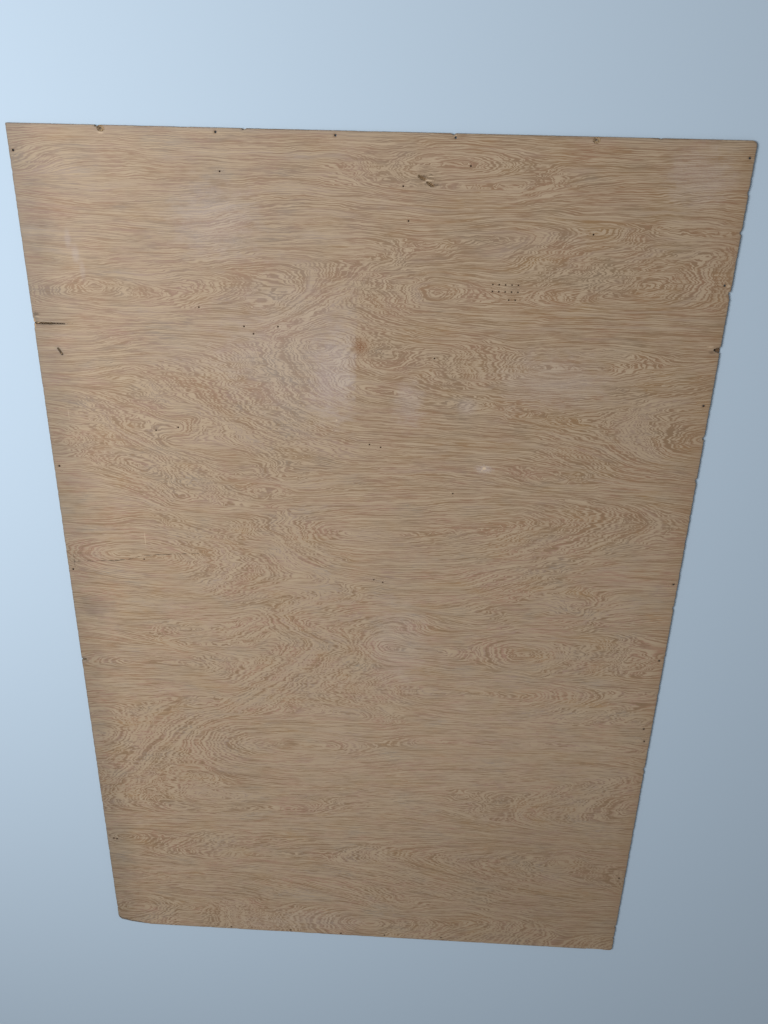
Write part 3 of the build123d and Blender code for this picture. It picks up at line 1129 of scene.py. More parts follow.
dark_line = sums(t, "MULTIPLY", ramp(t, tone, -0.7, -1.5), ramp(t, patchy, 0.6, -0.4))
for name, value in (
    ("Zone", zone), ("Tone", tone), ("Pale line", pale_line), ("Dark line", dark_line),
):
    feed(t, result.inputs[name], value)

# %% Group: fibres
long_fibres, given, result = new_group(
    "long_fibres",
    [("Place", VECTOR, (0, 0, 0)), ("Length", NUMBER, 30), ("Width", NUMBER, 1)],
    [("Tone", NUMBER), ("Pores", NUMBER)],
)
t = long_fibres
sizes = (given["Length"], given["Width"], given["Width"])
axes = axes_of(t, given["Place"])
thin = vector_from(t, *[sums(t, "DIVIDE", axis, size) for axis, size in zip(axes, sizes)])
feed(t, result.inputs["Tone"], noise(t, thin, 2.0, 0.7))
pore = noise(t, stretch(t, thin, (1.6, 1.3, 1.0), (7.0, 3.0, 0.0)), 1.0, 0.6)
feed(t, result.inputs["Pores"], ramp(t, pore, 0.5, 1.0))

# %% Group: a patch with a broken outline, for stains, dust and painted shade
ragged_patch, given, result = new_group(
    "ragged_patch",
    [("Place", VECTOR, (0, 0, 0)), ("Centre", VECTOR, (0, 0, 0)),
     ("Half size", VECTOR, (50, 30, 1)), ("Ragged", NUMBER, 0), ("Break up", NUMBER, 0.5),
     ("Softness", NUMBER, 0.6)],
    [("Mask", NUMBER)],
)
t = ragged_patch
away = vector_sums(t, "SUBTRACT", given["Place"], given["Centre"])
share = stretch(t, vector_sums(t, "DIVIDE", away, given["Half size"]), (1.0, 1.0, 0.0))
broken = sums(t, "MULTIPLY", given["Break up"], 0.5)
reach = sums(t, "MULTIPLY_ADD", given["Ragged"], broken, length_of(t, share))
outside, inside = [sums(t, side, 1.0, given["Softness"]) for side in ("ADD", "SUBTRACT")]
feed(t, result.inputs["Mask"], ramp(t, reach, outside, inside))


def patch_mask(tree, place, at, half, softness, **more):
    """How much of a patch is here: its middle from the left and top edges, its half size."""
    return use(
        tree, ragged_patch, Place=place, Centre=(*on_sheet(*at), 0.0), Half_size=(*half, 1.0),
        Softness=softness, **more,
    )["Mask"]


print("groups:", [group.name for group in bpy.data.node_groups])

# %% [markdown]
# ## The face veneer
#
# Bare tropical hardwood, never varnished, gone dull with age. Its colours lie close together:
# the rings and fibres differ from the ground by about a tenth, and broad patches lean to
# pink, to yellow or to grey. On top of that lie plaster dust, wiped thin and left in the pores,
# a rust mark, dirt, a darker strip along the left edge and a thin dark line along the sawn edges
# that is dirt and painted shade. The upper half and the lower right are painted darker, and the
# cracks and the rims of the split and the slit are painted dark: painted shade.

# %% Material: face veneer, its wood
face_veneer, t, shader, here = new_material("face_veneer")
x, y, _ = axes_of(t, here)


def cloudy(tree, place, long, tall, shift=(0.0, 0.0), detail=4.0, roughness=0.6):
    """Flat noise whose clouds have a length and a height in millimetres."""
    scaled = stretch(tree, place, (1 / long, 1 / tall, 0.0), (*shift, 0.0))
    return noise(tree, scaled, detail, roughness, flat=True)


# The ground is grey-brown or tan and leans to pink or to grey in clouds. Over the upper half it
# is painted darker and yellower, most towards the right: painted shade.
warm = cloudy(t, here, 75, 34, detail=2.0)
pink = cloudy(t, here, 70, 30, (5.0, 2.0), 3.0)
greyed = cloudy(t, here, 38, 18, (9.0, 6.0), 2.0, 0.5)
ground = between(t, warm, (141, 130, 117), (159, 128, 92), 1.1)
ground = blend(t, ramp(t, pink, -0.9, 1.1), ground, paint(159, 124, 107))
ground = blend(t, ramp(t, greyed, 0.1, 1.2, 0.0, 0.34), ground, paint(143, 134, 124))
# Painted shade: darker and yellower over the upper half, most towards the right
painted_shade_above = sums(t, "MULTIPLY", ramp(t, y, -40.0, 340.0), ramp(t, x, -420.0, 100.0, 0.32, 0.48))
ground = blend(t, painted_shade_above, ground, between(t, x, (114, 94, 78), (119, 87, 42), 300.0))

# %% Material: face veneer, its figure
calm = cloudy(t, here, 150, 90, (1.0, 9.0), 1.0, 0.5)
rings_seen = use(
    t, growth_rings, Place=here, Ring=attribute(t, "ring"), Steepness=attribute(t, "steepness"),
    Side_slope=attribute(t, "side_slope"), Waver=ramp(t, calm, -1.0, 1.0, 0.5, 1.3),
    Line_width=ramp(t, y, 500.0, -500.0, 0.74, 1.05),
    Pale_lines=ramp(t, y, 450.0, -350.0, 1.15, 2.5),
)
fine_fibres = use(t, long_fibres, Place=here, Length=22.0, Width=1.25)
fibre_share = ramp(t, y, 500.0, -500.0, 0.9, 1.6)
tone = sums(t, "MULTIPLY_ADD", fine_fibres["Tone"], fibre_share, rings_seen["Tone"])
busy = sums(t, "MULTIPLY_ADD", y, -1 / 1400, 1.86)
tone = sums(t, "MULTIPLY", tone, sums(t, "MULTIPLY_ADD", calm, 0.18, busy))
zone = rings_seen["Zone"]
ground = blend(t, ramp(t, zone, 0.1, 1.1, 0.0, 0.46), ground, paint(168, 151, 137))
ground = blend(t, ramp(t, zone, -0.1, -1.1, 0.0, 0.44), ground, paint(142, 108, 72))
wood = blend(t, ramp(t, tone, 0.0, -1.7), ground, paint(137, 112, 86))
wood = blend(t, ramp(t, tone, 0.0, 1.7), wood, paint(169, 148, 123))
wood = blend(t, sums(t, "MULTIPLY", rings_seen["Pale line"], 0.20), wood, paint(186, 168, 144))
wood = blend(t, sums(t, "MULTIPLY", rings_seen["Dark line"], 0.25), wood, paint(112, 82, 58))
wood = blend(t, sums(t, "MULTIPLY", fine_fibres["Pores"], 0.12), wood, paint(98, 72, 52))

# %% Material: face veneer, the dust on it
# Each patch as its place from the left and top edges, its half size and its strength
dust_patches = [
    ((226, 98), (44, 38), 0.15),
    ((54, 122), (3.5, 10), 0.16),
    ((61, 138), (4, 10), 0.18),
    ((67, 156), (3, 11), 0.14),
    ((452, 305), (15, 26), 0.16),
    ((523, 306), (11, 10), 0.16),
    ((622, 270), (56, 30), 0.12),
    ((758, 36), (32, 28), 0.14),
    ((450, 650), (36, 58), 0.10),
    ((337, 1188), (60, 22), 0.08),
    ((250, 1202), (40, 14), 0.08),
    ((205, 250), (60, 26), 0.05),
]
widest_fine = 15
wiped_at = on_sheet(387, 0)[0]
ragged_wide = cloudy(t, here, 16, 9)
ragged_fine = cloudy(t, here, 2.2, 1.4, (7.0, 1.0), 3.0, 0.7)


def patch(at, half, strength, break_up=0.8, softness=0.6):
    ragged = ragged_wide if max(half) > widest_fine else ragged_fine
    found = patch_mask(t, here, at, half, softness, Ragged=ragged, Break_up=break_up)
    return sums(t, "MULTIPLY", found, strength)


wood = blend(t, patch((500, 830), (230, 130), 0.12, 0.5, 0.8), wood, paint(190, 168, 145))
# Painted shade: the lower right of the face is painted darker
wood = blend(t, patch((730, 1090), (210, 190), 0.20, 0.5, 0.8), wood, paint(124, 100, 74))
# The largest patch of dust ends on the right where a cloth wiped it off
dust = sums(t, "ADD", patch((318, 250), (80, 78), 0.11), patch((362, 270), (26, 46), 0.15))
wiped_edge = noise(t, stretch(t, here, (0.0, 1 / 12, 0.0)), 2.0, flat=True)
wiped_edge = sums(t, "MULTIPLY_ADD", wiped_edge, 1.6, wiped_at)
dust = sums(t, "MULTIPLY", dust, ramp(t, sums(t, "SUBTRACT", x, wiped_edge), 2.0, -2.0))
for at, half, strength in dust_patches:
    dust = sums(t, "ADD", dust, patch(at, half, strength))
film = cloudy(t, here, 60, 40, (3.0, 4.0))
dust = sums(t, "ADD", dust, ramp(t, film, 0.3, 1.6, 0.0, 0.07))
dust = sums(t, "MULTIPLY", dust, ramp(t, ragged_fine, -1.4, 1.4, 0.55, 1.45))
dust = sums(t, "ADD", dust, patch((549, 386), (9.0, 4.5), 0.3, 1.6, 0.5))
dusty = blend(t, dust, wood, paint(196, 188, 190))

# %% Material: face veneer, its marks
# Each as its place from the left and top edges, its half size and its strength
dark_stains = [
    ((458.8, 44.6), (4.8, 1.1), 0.75), ((463.8, 50.4), (4.0, 0.9), 0.6),
    ((473.6, 53.0), (4.0, 1.0), 0.7), ((5.0, 209.0), (3.6, 2.2), 0.55),
    ((803.5, 229.0), (3.0, 1.6), 0.5),
]
bare_spots = [
    ((809.4, 152.6), (2.2, 1.3), 0.7), ((810.6, 158.5), (1.6, 2.4), 0.6),
    ((801.5, 222.4), (3.4, 1.2), 0.5), ((465.4, 48.4), (4.6, 0.9), 0.65),
    ((468.2, 44.3), (3.0, 0.6), 0.5), ((461.0, 50.4), (2.6, 0.8), 0.5),
    ((14.0, 218.0), (10.0, 0.7), 0.5), ((492.5, 3.0), (1.6, 1.3), 0.8),
    ((105.0, 7.8), (3.0, 0.9), 0.5), ((363.7, 328.8), (1.2, 1.0), 0.6),
    ((9.7, 883.0), (1.4, 1.1), 0.6), ((109.0, 504.0), (0.6, 10.0), 0.4),
    ((28.0, 333.5), (0.5, 8.5), 0.35), ((5.5, 212.0), (2.4, 1.0), 0.5),
    ((549.0, 385.0), (2.2, 1.9), 0.9), ((546.5, 388.0), (1.2, 1.0), 0.5),
]
rust_grain = ramp(t, ragged_fine, -0.5, 0.6, 0.2, 1.0)
rusty = sums(t, "MULTIPLY", patch((393, 236), (9, 10), 1.0, 1.2, 0.8), rust_grain)
marked = blend(t, rusty, dusty, paint(122, 74, 38))
marked = blend(t, patch((463.5, 48.5), (12.0, 6.0), 0.45, 1.0), marked, paint(118, 90, 60))
marked = blend(t, patch((3.5, 213.0), (3.0, 6.0), 0.5, 1.2), marked, paint(112, 98, 84))
for at, half, strength in dark_stains:
    marked = blend(t, patch(at, half, strength, 1.4), marked, paint(76, 54, 34))
for at, half, strength in bare_spots:
    marked = blend(t, patch(at, half, strength, 1.0, 0.5), marked, paint(206, 184, 156))
marked = blend(t, patch((32, 611), (25, 15), 0.30, 1.0, 0.5), marked, paint(112, 100, 92))
marked = blend(t, patch((205, 894), (62, 5), 0.22, 0.6), marked, paint(112, 84, 64))

# %% Material: face veneer, dirt along its edges and holes, and painted shade at its edges, gaps and cracks
gap_rims_painted_shade = [((28.0, 253.5), (6.0, 6.5)), ((18.0, 219.8), (22.0, 3.0))]
tanned_strip, darker_strip_reach = 26, (60, 2)
rim, nail, crack = attribute(t, "rim"), attribute(t, "nail"), attribute(t, "crack")
edge_noise = cloudy(t, here, 3.0, 3.0, detail=3.0)
to_edge = sums(t, "MULTIPLY_ADD", edge_noise, 0.5, rim)
marked = blend(t, ramp(t, to_edge, 6.0, 0.0, 0.0, 0.22), marked, paint(128, 120, 108))
tanned = ramp(t, x, high[0] - tanned_strip, high[0])
marked = blend(t, sums(t, "MULTIPLY", tanned, 0.22), marked, paint(140, 108, 74))
# The face turns darker and a little cooler towards the left edge
border_noise = cloudy(t, here, 40, 22, (4.0, 8.0), roughness=0.65)
border_place = sums(t, "MULTIPLY_ADD", border_noise, 14.0, x)
darker_left_strip = ramp(t, border_place, *[low[0] + strip for strip in darker_strip_reach], 0.0, 0.9)
marked = blend(t, darker_left_strip, marked, (0.76, 0.78, 0.80, 1.0), "MULTIPLY")
# A thin dark line along the sawn edges: dirt, and painted shade
marked = blend(t, ramp(t, to_edge, 1.4, 0.3, 0.0, 0.45), marked, paint(92, 80, 66))
# Painted shade round the rims of the split and the slit
for at, half in gap_rims_painted_shade:
    soiled_and_shaded = sums(t, "MULTIPLY", patch(at, half, 0.85, 0.2, 0.2), ramp(t, rim, 1.0, 0.15))
    marked = blend(t, soiled_and_shaded, marked, paint(66, 46, 28))
around_nail = sums(t, "MULTIPLY_ADD", edge_noise, 0.35, nail)
marked = blend(t, ramp(t, around_nail, 3.0, 0.4, 0.0, 0.22), marked, paint(110, 78, 52))
marked = blend(t, ramp(t, around_nail, 0.7, 0.1, 0.0, 0.55), marked, paint(62, 45, 32))
# Painted shade in the beds of the cracks
marked = blend(t, ramp(t, crack, 0.02, 0.4, 0.0, 0.9), marked, paint(48, 34, 24))
feed(t, shader.inputs["Base Color"], marked)

# %% Material: face veneer, its gloss and relief
roughness = sums(t, "MULTIPLY_ADD", tone, 0.04, 0.62)
roughness = sums(t, "MULTIPLY_ADD", dust, 0.35, roughness)
roughness = sums(t, "MULTIPLY_ADD", fine_fibres["Pores"], 0.12, roughness)
feed(t, shader.inputs["Roughness"], roughness)
relief = sums(t, "MULTIPLY", fine_fibres["Tone"], 0.35)
relief = sums(t, "MULTIPLY_ADD", fine_fibres["Pores"], -0.9, relief)
bump(t, shader, relief, 0.04 * MM, 0.7)
print("face veneer nodes:", len(t.nodes))

# %% [markdown]
# ## The bare core, the edges and the underside
#
# Where the face veneer is gone, the core shows: torn, paler in the tears and fibrous the
# other way. The edges show all three plies with a dark glue line between them. The underside
# is a second veneer of the same kind, never touched by plaster, with its own figure.

# %% Material: bare core
# Each darkened place from the left and top edges, with its half size, strength and colour: dirt by
# the nails, and dirt and painted shade at the broken corner at the lower left
soiled_and_shaded_core = [
    ((103.0, 3.8), (2.6, 2.6), 0.8, (70, 52, 36)),
    ((641.5, 3.8), (2.2, 2.6), 0.6, (84, 64, 46)),
    # the broken corner: dirt and painted shade
    ((22.0, 1209.0), (48.0, 16.0), 0.8, (84, 82, 82)),
    ((811.0, 226.0), (3.5, 4.0), 0.5, (92, 70, 50)),
]
deep_from, deep_to = core_height - 0.15, core_height - 1.1
bare_core, t, shader, here = new_material("bare_core")
lengthwise = use(t, long_fibres, Place=here, Length=9.0, Width=0.5)
turned = t.nodes.new("ShaderNodeVectorRotate")
turned.rotation_type = "Z_AXIS"
turned.inputs["Angle"].default_value = math.radians(90)
feed(t, turned.inputs["Vector"], here)
crosswise = use(t, long_fibres, Place=turned.outputs[0], Length=14.0, Width=0.7)
torn = sums(t, "MULTIPLY", crosswise["Tone"], 0.4)
torn = sums(t, "MULTIPLY_ADD", lengthwise["Tone"], 0.7, torn)
core_colour = between(t, torn, (128, 102, 74), (194, 168, 134))
dark_knot_and_shade = between(t, torn, (66, 43, 20), (126, 94, 58))
# Deeper down, in the knot's hollows, the core turns dark: the knot's own wood and painted shade
deep = sums(t, "MULTIPLY", ramp(t, axes_of(t, here)[2], deep_from, deep_to), 0.85)
core_colour = blend(t, deep, core_colour, dark_knot_and_shade)
for at, half, strength, dark_here in soiled_and_shaded_core:
    soiled_and_shaded = sums(t, "MULTIPLY", patch_mask(t, here, at, half, 0.3), strength)
    core_colour = blend(t, soiled_and_shaded, core_colour, paint(*dark_here))
feed(t, shader.inputs["Base Color"], core_colour)
feed(t, shader.inputs["Roughness"], ramp(t, torn, -1.0, 1.0, 0.72, 0.9))
bump(t, shader, torn, 0.2 * MM)

# %% Material: ply edges
# Painted shade on the ply edges in the slit and the split, and dirt and painted shade at the corner
shaded_edge_spots = [
    ((28.0, 253.5), (6.0, 6.5)), ((18.0, 219.8), (22.0, 2.5)), ((22.0, 1209.0), (46.0, 16.0)),
]
ply_edges, t, shader, here = new_material("ply_edges")
layer_wave = noise(t, stretch(t, here, (1 / 9, 1 / 9, 0.0)), 2.0)
height = sums(t, "MULTIPLY_ADD", layer_wave, 0.06, axes_of(t, here)[2])
to_glue = sums(t, "MINIMUM", *[
    sums(t, "ABSOLUTE", sums(t, "SUBTRACT", height, glue)) for glue in (veneer, core_height)
])
end_fibres = noise(t, stretch(t, here, (1 / 0.5, 1 / 0.5, 1 / 1.6)), 3.0, 0.7)
long_tone = noise(t, stretch(t, here, (1 / 14, 1 / 14, 1 / 0.25)), 3.0, 0.6)
in_core = sums(t, "COMPARE", height, (veneer + core_height) / 2, (core_height - veneer) / 2)
ply_tone = sums(t, "MULTIPLY_ADD", end_fibres, 0.5, sums(t, "MULTIPLY", long_tone, 0.5))
outer_ply = between(t, ply_tone, (96, 78, 60), (158, 136, 108))
inner_ply = between(t, ply_tone, (122, 98, 70), (178, 152, 116))
ply_colour = blend(t, in_core, outer_ply, inner_ply)
ply_colour = blend(t, ramp(t, to_glue, 0.14, 0.03, 0.0, 0.75), ply_colour, paint(66, 46, 32))
dirt = noise(t, stretch(t, here, (1 / 22, 1 / 22, 1 / 6)), 4.0, 0.65)
ply_colour = blend(t, ramp(t, dirt, -0.8, 1.2, 0.15, 0.75), ply_colour, paint(94, 86, 76))
for at, half in shaded_edge_spots:
    soiled_and_shaded = sums(t, "MULTIPLY", patch_mask(t, here, at, half, 0.2), 0.8)
    ply_colour = blend(t, soiled_and_shaded, ply_colour, paint(52, 39, 29))
# Painted shade on the walls of the holes
hole_wall_shade = ramp(t, attribute(t, "nail"), 1.0, 0.05, 0.0, 0.7)
ply_colour = blend(t, hole_wall_shade, ply_colour, paint(66, 48, 34))
feed(t, shader.inputs["Base Color"], ply_colour)
feed(t, shader.inputs["Roughness"], ramp(t, ply_tone, -1.0, 1.0, 0.78, 0.92))
bump(t, shader, ply_tone, 0.2 * MM)

# %% Material: back veneer
back_veneer, t, shader, here = new_material("back_veneer")
lean = noise(t, stretch(t, here, (1 / 190, 1 / 80, 0.0), (11.0, 5.0, 0.0)), 3.0)
ground = between(t, lean, (150, 121, 97), (158, 137, 109), 0.9)
rings_seen = use(
    t, growth_rings, Place=here, Ring=attribute(t, "ring"), Steepness=attribute(t, "steepness"),
    Side_slope=attribute(t, "side_slope"), Waver=1.3, Line_width=1.8,
)
fibres = use(t, long_fibres, Place=here, Length=40.0, Width=1.0)
tone = sums(t, "MULTIPLY_ADD", fibres["Tone"], 0.5, sums(t, "MULTIPLY", rings_seen["Tone"], 0.6))
wood = between(t, tone, (112, 84, 62), (186, 164, 136), 2.0)
wood = blend(t, 0.55, wood, ground)
wood = blend(t, sums(t, "MULTIPLY", fibres["Pores"], 0.3), wood, paint(92, 68, 48))
blotches = noise(t, stretch(t, here, (1 / 90, 1 / 60, 0.0)), 4.0, 0.65)
wood = blend(t, ramp(t, blotches, 0.2, 1.6, 0.0, 0.35), wood, paint(112, 100, 88))
# Painted shade: the underside darkens towards its rim
rim_shade = ramp(t, attribute(t, "rim"), 9.0, 0.0, 0.0, 0.4)
wood = blend(t, rim_shade, wood, paint(92, 82, 70))
feed(t, shader.inputs["Base Color"], wood)
feed(t, shader.inputs["Roughness"], sums(t, "MULTIPLY_ADD", tone, 0.04, 0.72))
bump(t, shader, sums(t, "MULTIPLY_ADD", fibres["Pores"], -1.0, tone), 0.08 * MM)

for material in (face_veneer, bare_core, ply_edges, back_veneer):
    mesh.materials.append(material)
print("slots:", [m.name for m in mesh.materials])
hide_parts("plywood_sheet")
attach(worn_sheet, "root")

# %% [markdown]
# ## Torn fibres
#
# Wood never breaks clean. In the split, in the torn knot, where nails gave way and in the
# chips, the fibres end in fine slivers, paler than the weathered face. On the real sheet each
# is a bundle of fibres, thick where it still holds on and thin at its tip. They could be
# modelled one by one, but they differ only in place, size and turn. So one sliver is made by
# geometry nodes and set on points that carry those three.

# %% Slivers listed one by one
# Place from the left and top edges, root height, length, width, turn and rise in degrees
set_by_hand = [
    # on the split: its loose plug and the lip above it
    (3.6, 219.9, 1.1, 4.2, 1.5, 12, 8), (3.9, 219.0, 1.2, 3.4, 1.1, -20, 10),
    (4.4, 220.4, 1.0, 3.0, 1.0, 40, 12), (6.0, 218.7, 2.5, 15.0, 0.35, -1, 0),
    (17.0, 218.9, 2.4, 9.0, 0.30, 1, 1), (23.0, 220.6, 1.6, 7.5, 0.35, 3, 2),
    (4.2, 213.8, 2.3, 4.0, 0.6, 24, 3), (6.8, 212.6, 2.3, 3.6, 0.5, -18, 3),
    (9.6, 213.4, 2.3, 3.0, 0.5, 35, 4),
    # in the knot, over and between its two hollows
    (452.0, 45.4, 1.5, 8.0, 0.7, -22, 4), (455.0, 47.6, 1.4, 7.0, 0.6, -31, 5),
    (457.5, 46.6, 1.7, 5.0, 0.5, -12, 6), (462.5, 50.4, 1.4, 7.5, 0.7, -26, 4),
    (465.0, 52.8, 1.3, 6.0, 0.5, -34, 6), (467.0, 51.2, 1.8, 5.5, 0.5, -14, 3),
    (454.0, 44.6, 1.9, 4.5, 0.4, -40, 4), (463.0, 54.0, 1.6, 5.0, 0.5, -8, 5),
    (468.5, 53.4, 1.6, 3.6, 0.4, -48, 6),
    # across the slanted slit
    (29.2, 256.4, 1.5, 2.2, 0.30, -30, 4),
    # where the nail tore out on the right
    (805.9, 223.6, 1.8, 5.0, 0.6, 10, 2), (806.2, 227.9, 1.2, 5.2, 0.5, -14, 4),
    (807.5, 229.2, 2.2, 4.0, 0.5, 3, 2),
    # where the nail tore out on the left
    (6.9, 698.0, 1.9, 4.6, 0.4, 176, 2), (6.6, 699.4, 1.2, 4.0, 0.4, 186, 3),
]
# Over the hollow that each of two nails near the top edge left, from the nail itself
over_a_flake = [
    (-0.6, 3.1, 2.45, 3.4, 1.0, 84, 2), (0.9, 2.9, 2.4, 3.6, 1.1, 97, 3),
    (2.1, 2.4, 2.45, 3.0, 0.9, 112, 3), (-4.3, 0.9, 2.5, 2.4, 0.8, 18, 2),
    (-3.8, -1.6, 2.5, 2.0, 0.7, -24, 2), (3.6, -1.2, 2.45, 2.6, 0.8, 170, 3),
    (3.9, 0.8, 2.45, 1.9, 0.6, 196, 2),
]
flaked_nails = [(105.5, 3.6), (643.5, 3.6)]
for across, down in flaked_nails:
    set_by_hand += [(across + x, down + y, *rest) for x, y, *rest in over_a_flake]
print("slivers set by hand:", len(set_by_hand))

# %% Slivers along every torn edge
sliver_every = 1.3
spare_room = (0.35, 0.35, 0.18)
shortest, thickest = 0.4, 0.32
follows_edge = 0.55
sliver_rng = np.random.default_rng(17)
roots, sizes, turns = [], [], []


def stand(x, y, z, length, width, turn, rise):
    """One sliver, kept short enough to stay inside the board's own box."""
    turn, rise = math.radians(turn), math.radians(rise)
    level = math.cos(rise)
    towards = (math.cos(turn) * level, math.sin(turn) * level, math.sin(rise))
    for place, way, spare, start, end in zip((x, y, z), towards, spare_room, low, high):
        room = (end - spare if way > 0 else start + spare) - place
        if abs(way) > 1e-6:
            length = min(length, max(0.0, room / way))
    if length > shortest:
        roots.append((x * MM, y * MM, z * MM))
        sizes.append((length * MM, width * MM, min(width / 2, thickest) * MM))
        turns.append((0.0, -rise, turn))


for across, down, z, length, width, turn, rise in set_by_hand:
    stand(*on_sheet(across, down), z, length, width, turn, rise)
used = []
for ways, lowest, highest in ((into_face, core_height, top - 0.3), (into_board, 0.3, core_height)):
    for i in sorted(ways):
        x, y = flat[i]
        close_by = any(abs(x - a) + abs(y - b) < sliver_every for a, b in used)
        if i in hole_points or min(from_outline(x, y)) < sawn_flat or close_by:
            continue
        used.append((x, y))
        outwards = math.degrees(math.atan2(-ways[i][1], -ways[i][0]))
        with_grain = 0.0 if abs(outwards) < 90 else 180.0
        off_grain = follows_edge * ((outwards - with_grain + 180) % 360 - 180)
        turn = with_grain + off_grain + sliver_rng.uniform(-22, 22)
        stand(x, y, sliver_rng.uniform(lowest, highest), sliver_rng.uniform(0.8, 2.8),
              sliver_rng.uniform(0.18, 0.45), turn, sliver_rng.uniform(-6, 6))
print("slivers:", len(roots), "set by hand:", len(set_by_hand))

# %% Material: torn fibre
torn_fibre, t, shader, here = new_material("torn_fibre")
fibre = use(t, long_fibres, Place=here, Length=5.0, Width=0.35)
pale_wood = between(t, fibre["Tone"], (150, 120, 86), (204, 178, 142))
feed(t, shader.inputs["Base Color"], pale_wood)
shader.inputs["Roughness"].default_value = 0.85
bump(t, shader, fibre["Tone"], 0.1 * MM)
print("torn fibre nodes:", len(t.nodes))

# %% Geometry nodes: one sliver on every root
# Every sliver is a cone laid on its side, thick at the root and bent a little by noise
sliver_tree = bpy.data.node_groups.new("slivers_on_roots", "GeometryNodeTree")
sliver_tree.interface.new_socket("Geometry", in_out="INPUT", socket_type="NodeSocketGeometry")
wanted = {"Sides": 6, "Rings": 4, "Tip": 0.12, "Waver": 0.00016, "Waver length": 0.0022}
for label, value in wanted.items():
    kind = "NodeSocketInt" if isinstance(value, int) else "NodeSocketFloat"
    sliver_tree.interface.new_socket(label, in_out="INPUT", socket_type=kind).default_value = value
sliver_tree.interface.new_socket("Finish", in_out="INPUT", socket_type="NodeSocketMaterial")
sliver_tree.interface.new_socket("Geometry", in_out="OUTPUT", socket_type="NodeSocketGeometry")
given = sliver_tree.nodes.new("NodeGroupInput").outputs


def step(kind, **values):
    """One geometry node, fed by the names of its inputs."""
    node = sliver_tree.nodes.new(kind)
    for name, value in values.items():
        feed(sliver_tree, node.inputs[name.replace("_", " ")], value)
    return node


def carried(name):
    node = step("GeometryNodeInputNamedAttribute", Name=name)
    node.data_type = "FLOAT_VECTOR"
    return node.outputs["Attribute"]


cone = step(
    "GeometryNodeMeshCone", Vertices=given["Sides"], Side_Segments=given["Rings"],
    Radius_Top=given["Tip"], Radius_Bottom=0.5, Depth=1.0,
)
on_its_side = (0.0, math.radians(90), 0.0)
lying = step("GeometryNodeTransform", Geometry=cone.outputs["Mesh"], Rotation=on_its_side)
placed = step(
    "GeometryNodeInstanceOnPoints", Points=given["Geometry"], Instance=lying.outputs["Geometry"],
    Rotation=carried("turn"), Scale=carried("size"),
)
real = step("GeometryNodeRealizeInstances", Geometry=placed.outputs["Instances"])


def scaled(vector, by):
    node = step("ShaderNodeVectorMath")
    node.operation = "SCALE"
    feed(sliver_tree, node.inputs[0], vector)
    feed(sliver_tree, node.inputs["Scale"], by)
    return node.outputs[0]


position = step("GeometryNodeInputPosition").outputs[0]
fine_place = scaled(position, sums(sliver_tree, "DIVIDE", 1.0, given["Waver length"]))
crooked = step("ShaderNodeTexNoise", Vector=fine_place, Scale=1.0, Detail=1.0)
centred = stretch(sliver_tree, crooked.outputs["Color"], (2.0, 2.0, 1.0), (-1.0, -1.0, -0.5))
offset = scaled(centred, given["Waver"])
bent = step("GeometryNodeSetPosition", Geometry=real.outputs["Geometry"], Offset=offset)
finish = given["Finish"]
dressed = step("GeometryNodeSetMaterial", Geometry=bent.outputs["Geometry"], Material=finish)
feed(sliver_tree, sliver_tree.nodes.new("NodeGroupOutput").inputs[0], dressed.outputs["Geometry"])
print("geometry nodes:", len(sliver_tree.nodes))

# %% The slivers as one plain mesh
root_mesh = bpy.data.meshes.new("sliver_roots")
root_mesh.from_pydata(roots, [], [])
for name, values in (("size", sizes), ("turn", turns)):
    layer = root_mesh.attributes.new(name, "FLOAT_VECTOR", "POINT")
    layer.data.foreach_set("vector", np.ravel(values).astype(np.float32))
root_object = put_in_scene("sliver_roots", root_mesh)
grown = root_object.modifiers.new("slivers", "NODES")
grown.node_group = sliver_tree
for socket in sliver_tree.interface.items_tree:
    if socket.in_out == "INPUT" and socket.name in wanted:
        grown[socket.identifier] = wanted[socket.name]
    elif socket.in_out == "INPUT" and socket.name == "Finish":
        grown[socket.identifier] = torn_fibre
evaluated = root_object.evaluated_get(bpy.context.evaluated_depsgraph_get())
sliver_mesh = bpy.data.meshes.new_from_object(evaluated)
root_object.modifiers.remove(grown)
bpy.data.objects.remove(root_object)
for spent in ("size", "turn"):
    if spent in sliver_mesh.attributes:
        sliver_mesh.attributes.remove(sliver_mesh.attributes[spent])
sliver_mesh.name = "torn_fibres"
sliver_mesh.shade_smooth()
torn_fibres = put_in_scene("torn_fibres", sliver_mesh)
ends = np.array([v.co for v in sliver_mesh.vertices]) / MM
print("sliver faces:", len(sliver_mesh.polygons))
print("they reach from", ends.min(axis=0).round(2), "to", ends.max(axis=0).round(2))
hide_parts("plywood_sheet")
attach(torn_fibres, "root")

# %% [markdown]
# ## Dark filling in the gaps
#
# Nobody looks through the split to the ground: a dark filling with a crumbly grain lies in its
# bottom, and in the slit and the two torn nail holes, and keeps them dark. It is painted shade.
# Each is a low ridge with a rough back, drawn as a row of cross sections along the middle of its
# gap. The thin holes of the pins get a dark plug too, to a millimetre below the face: painted
# shade as well.

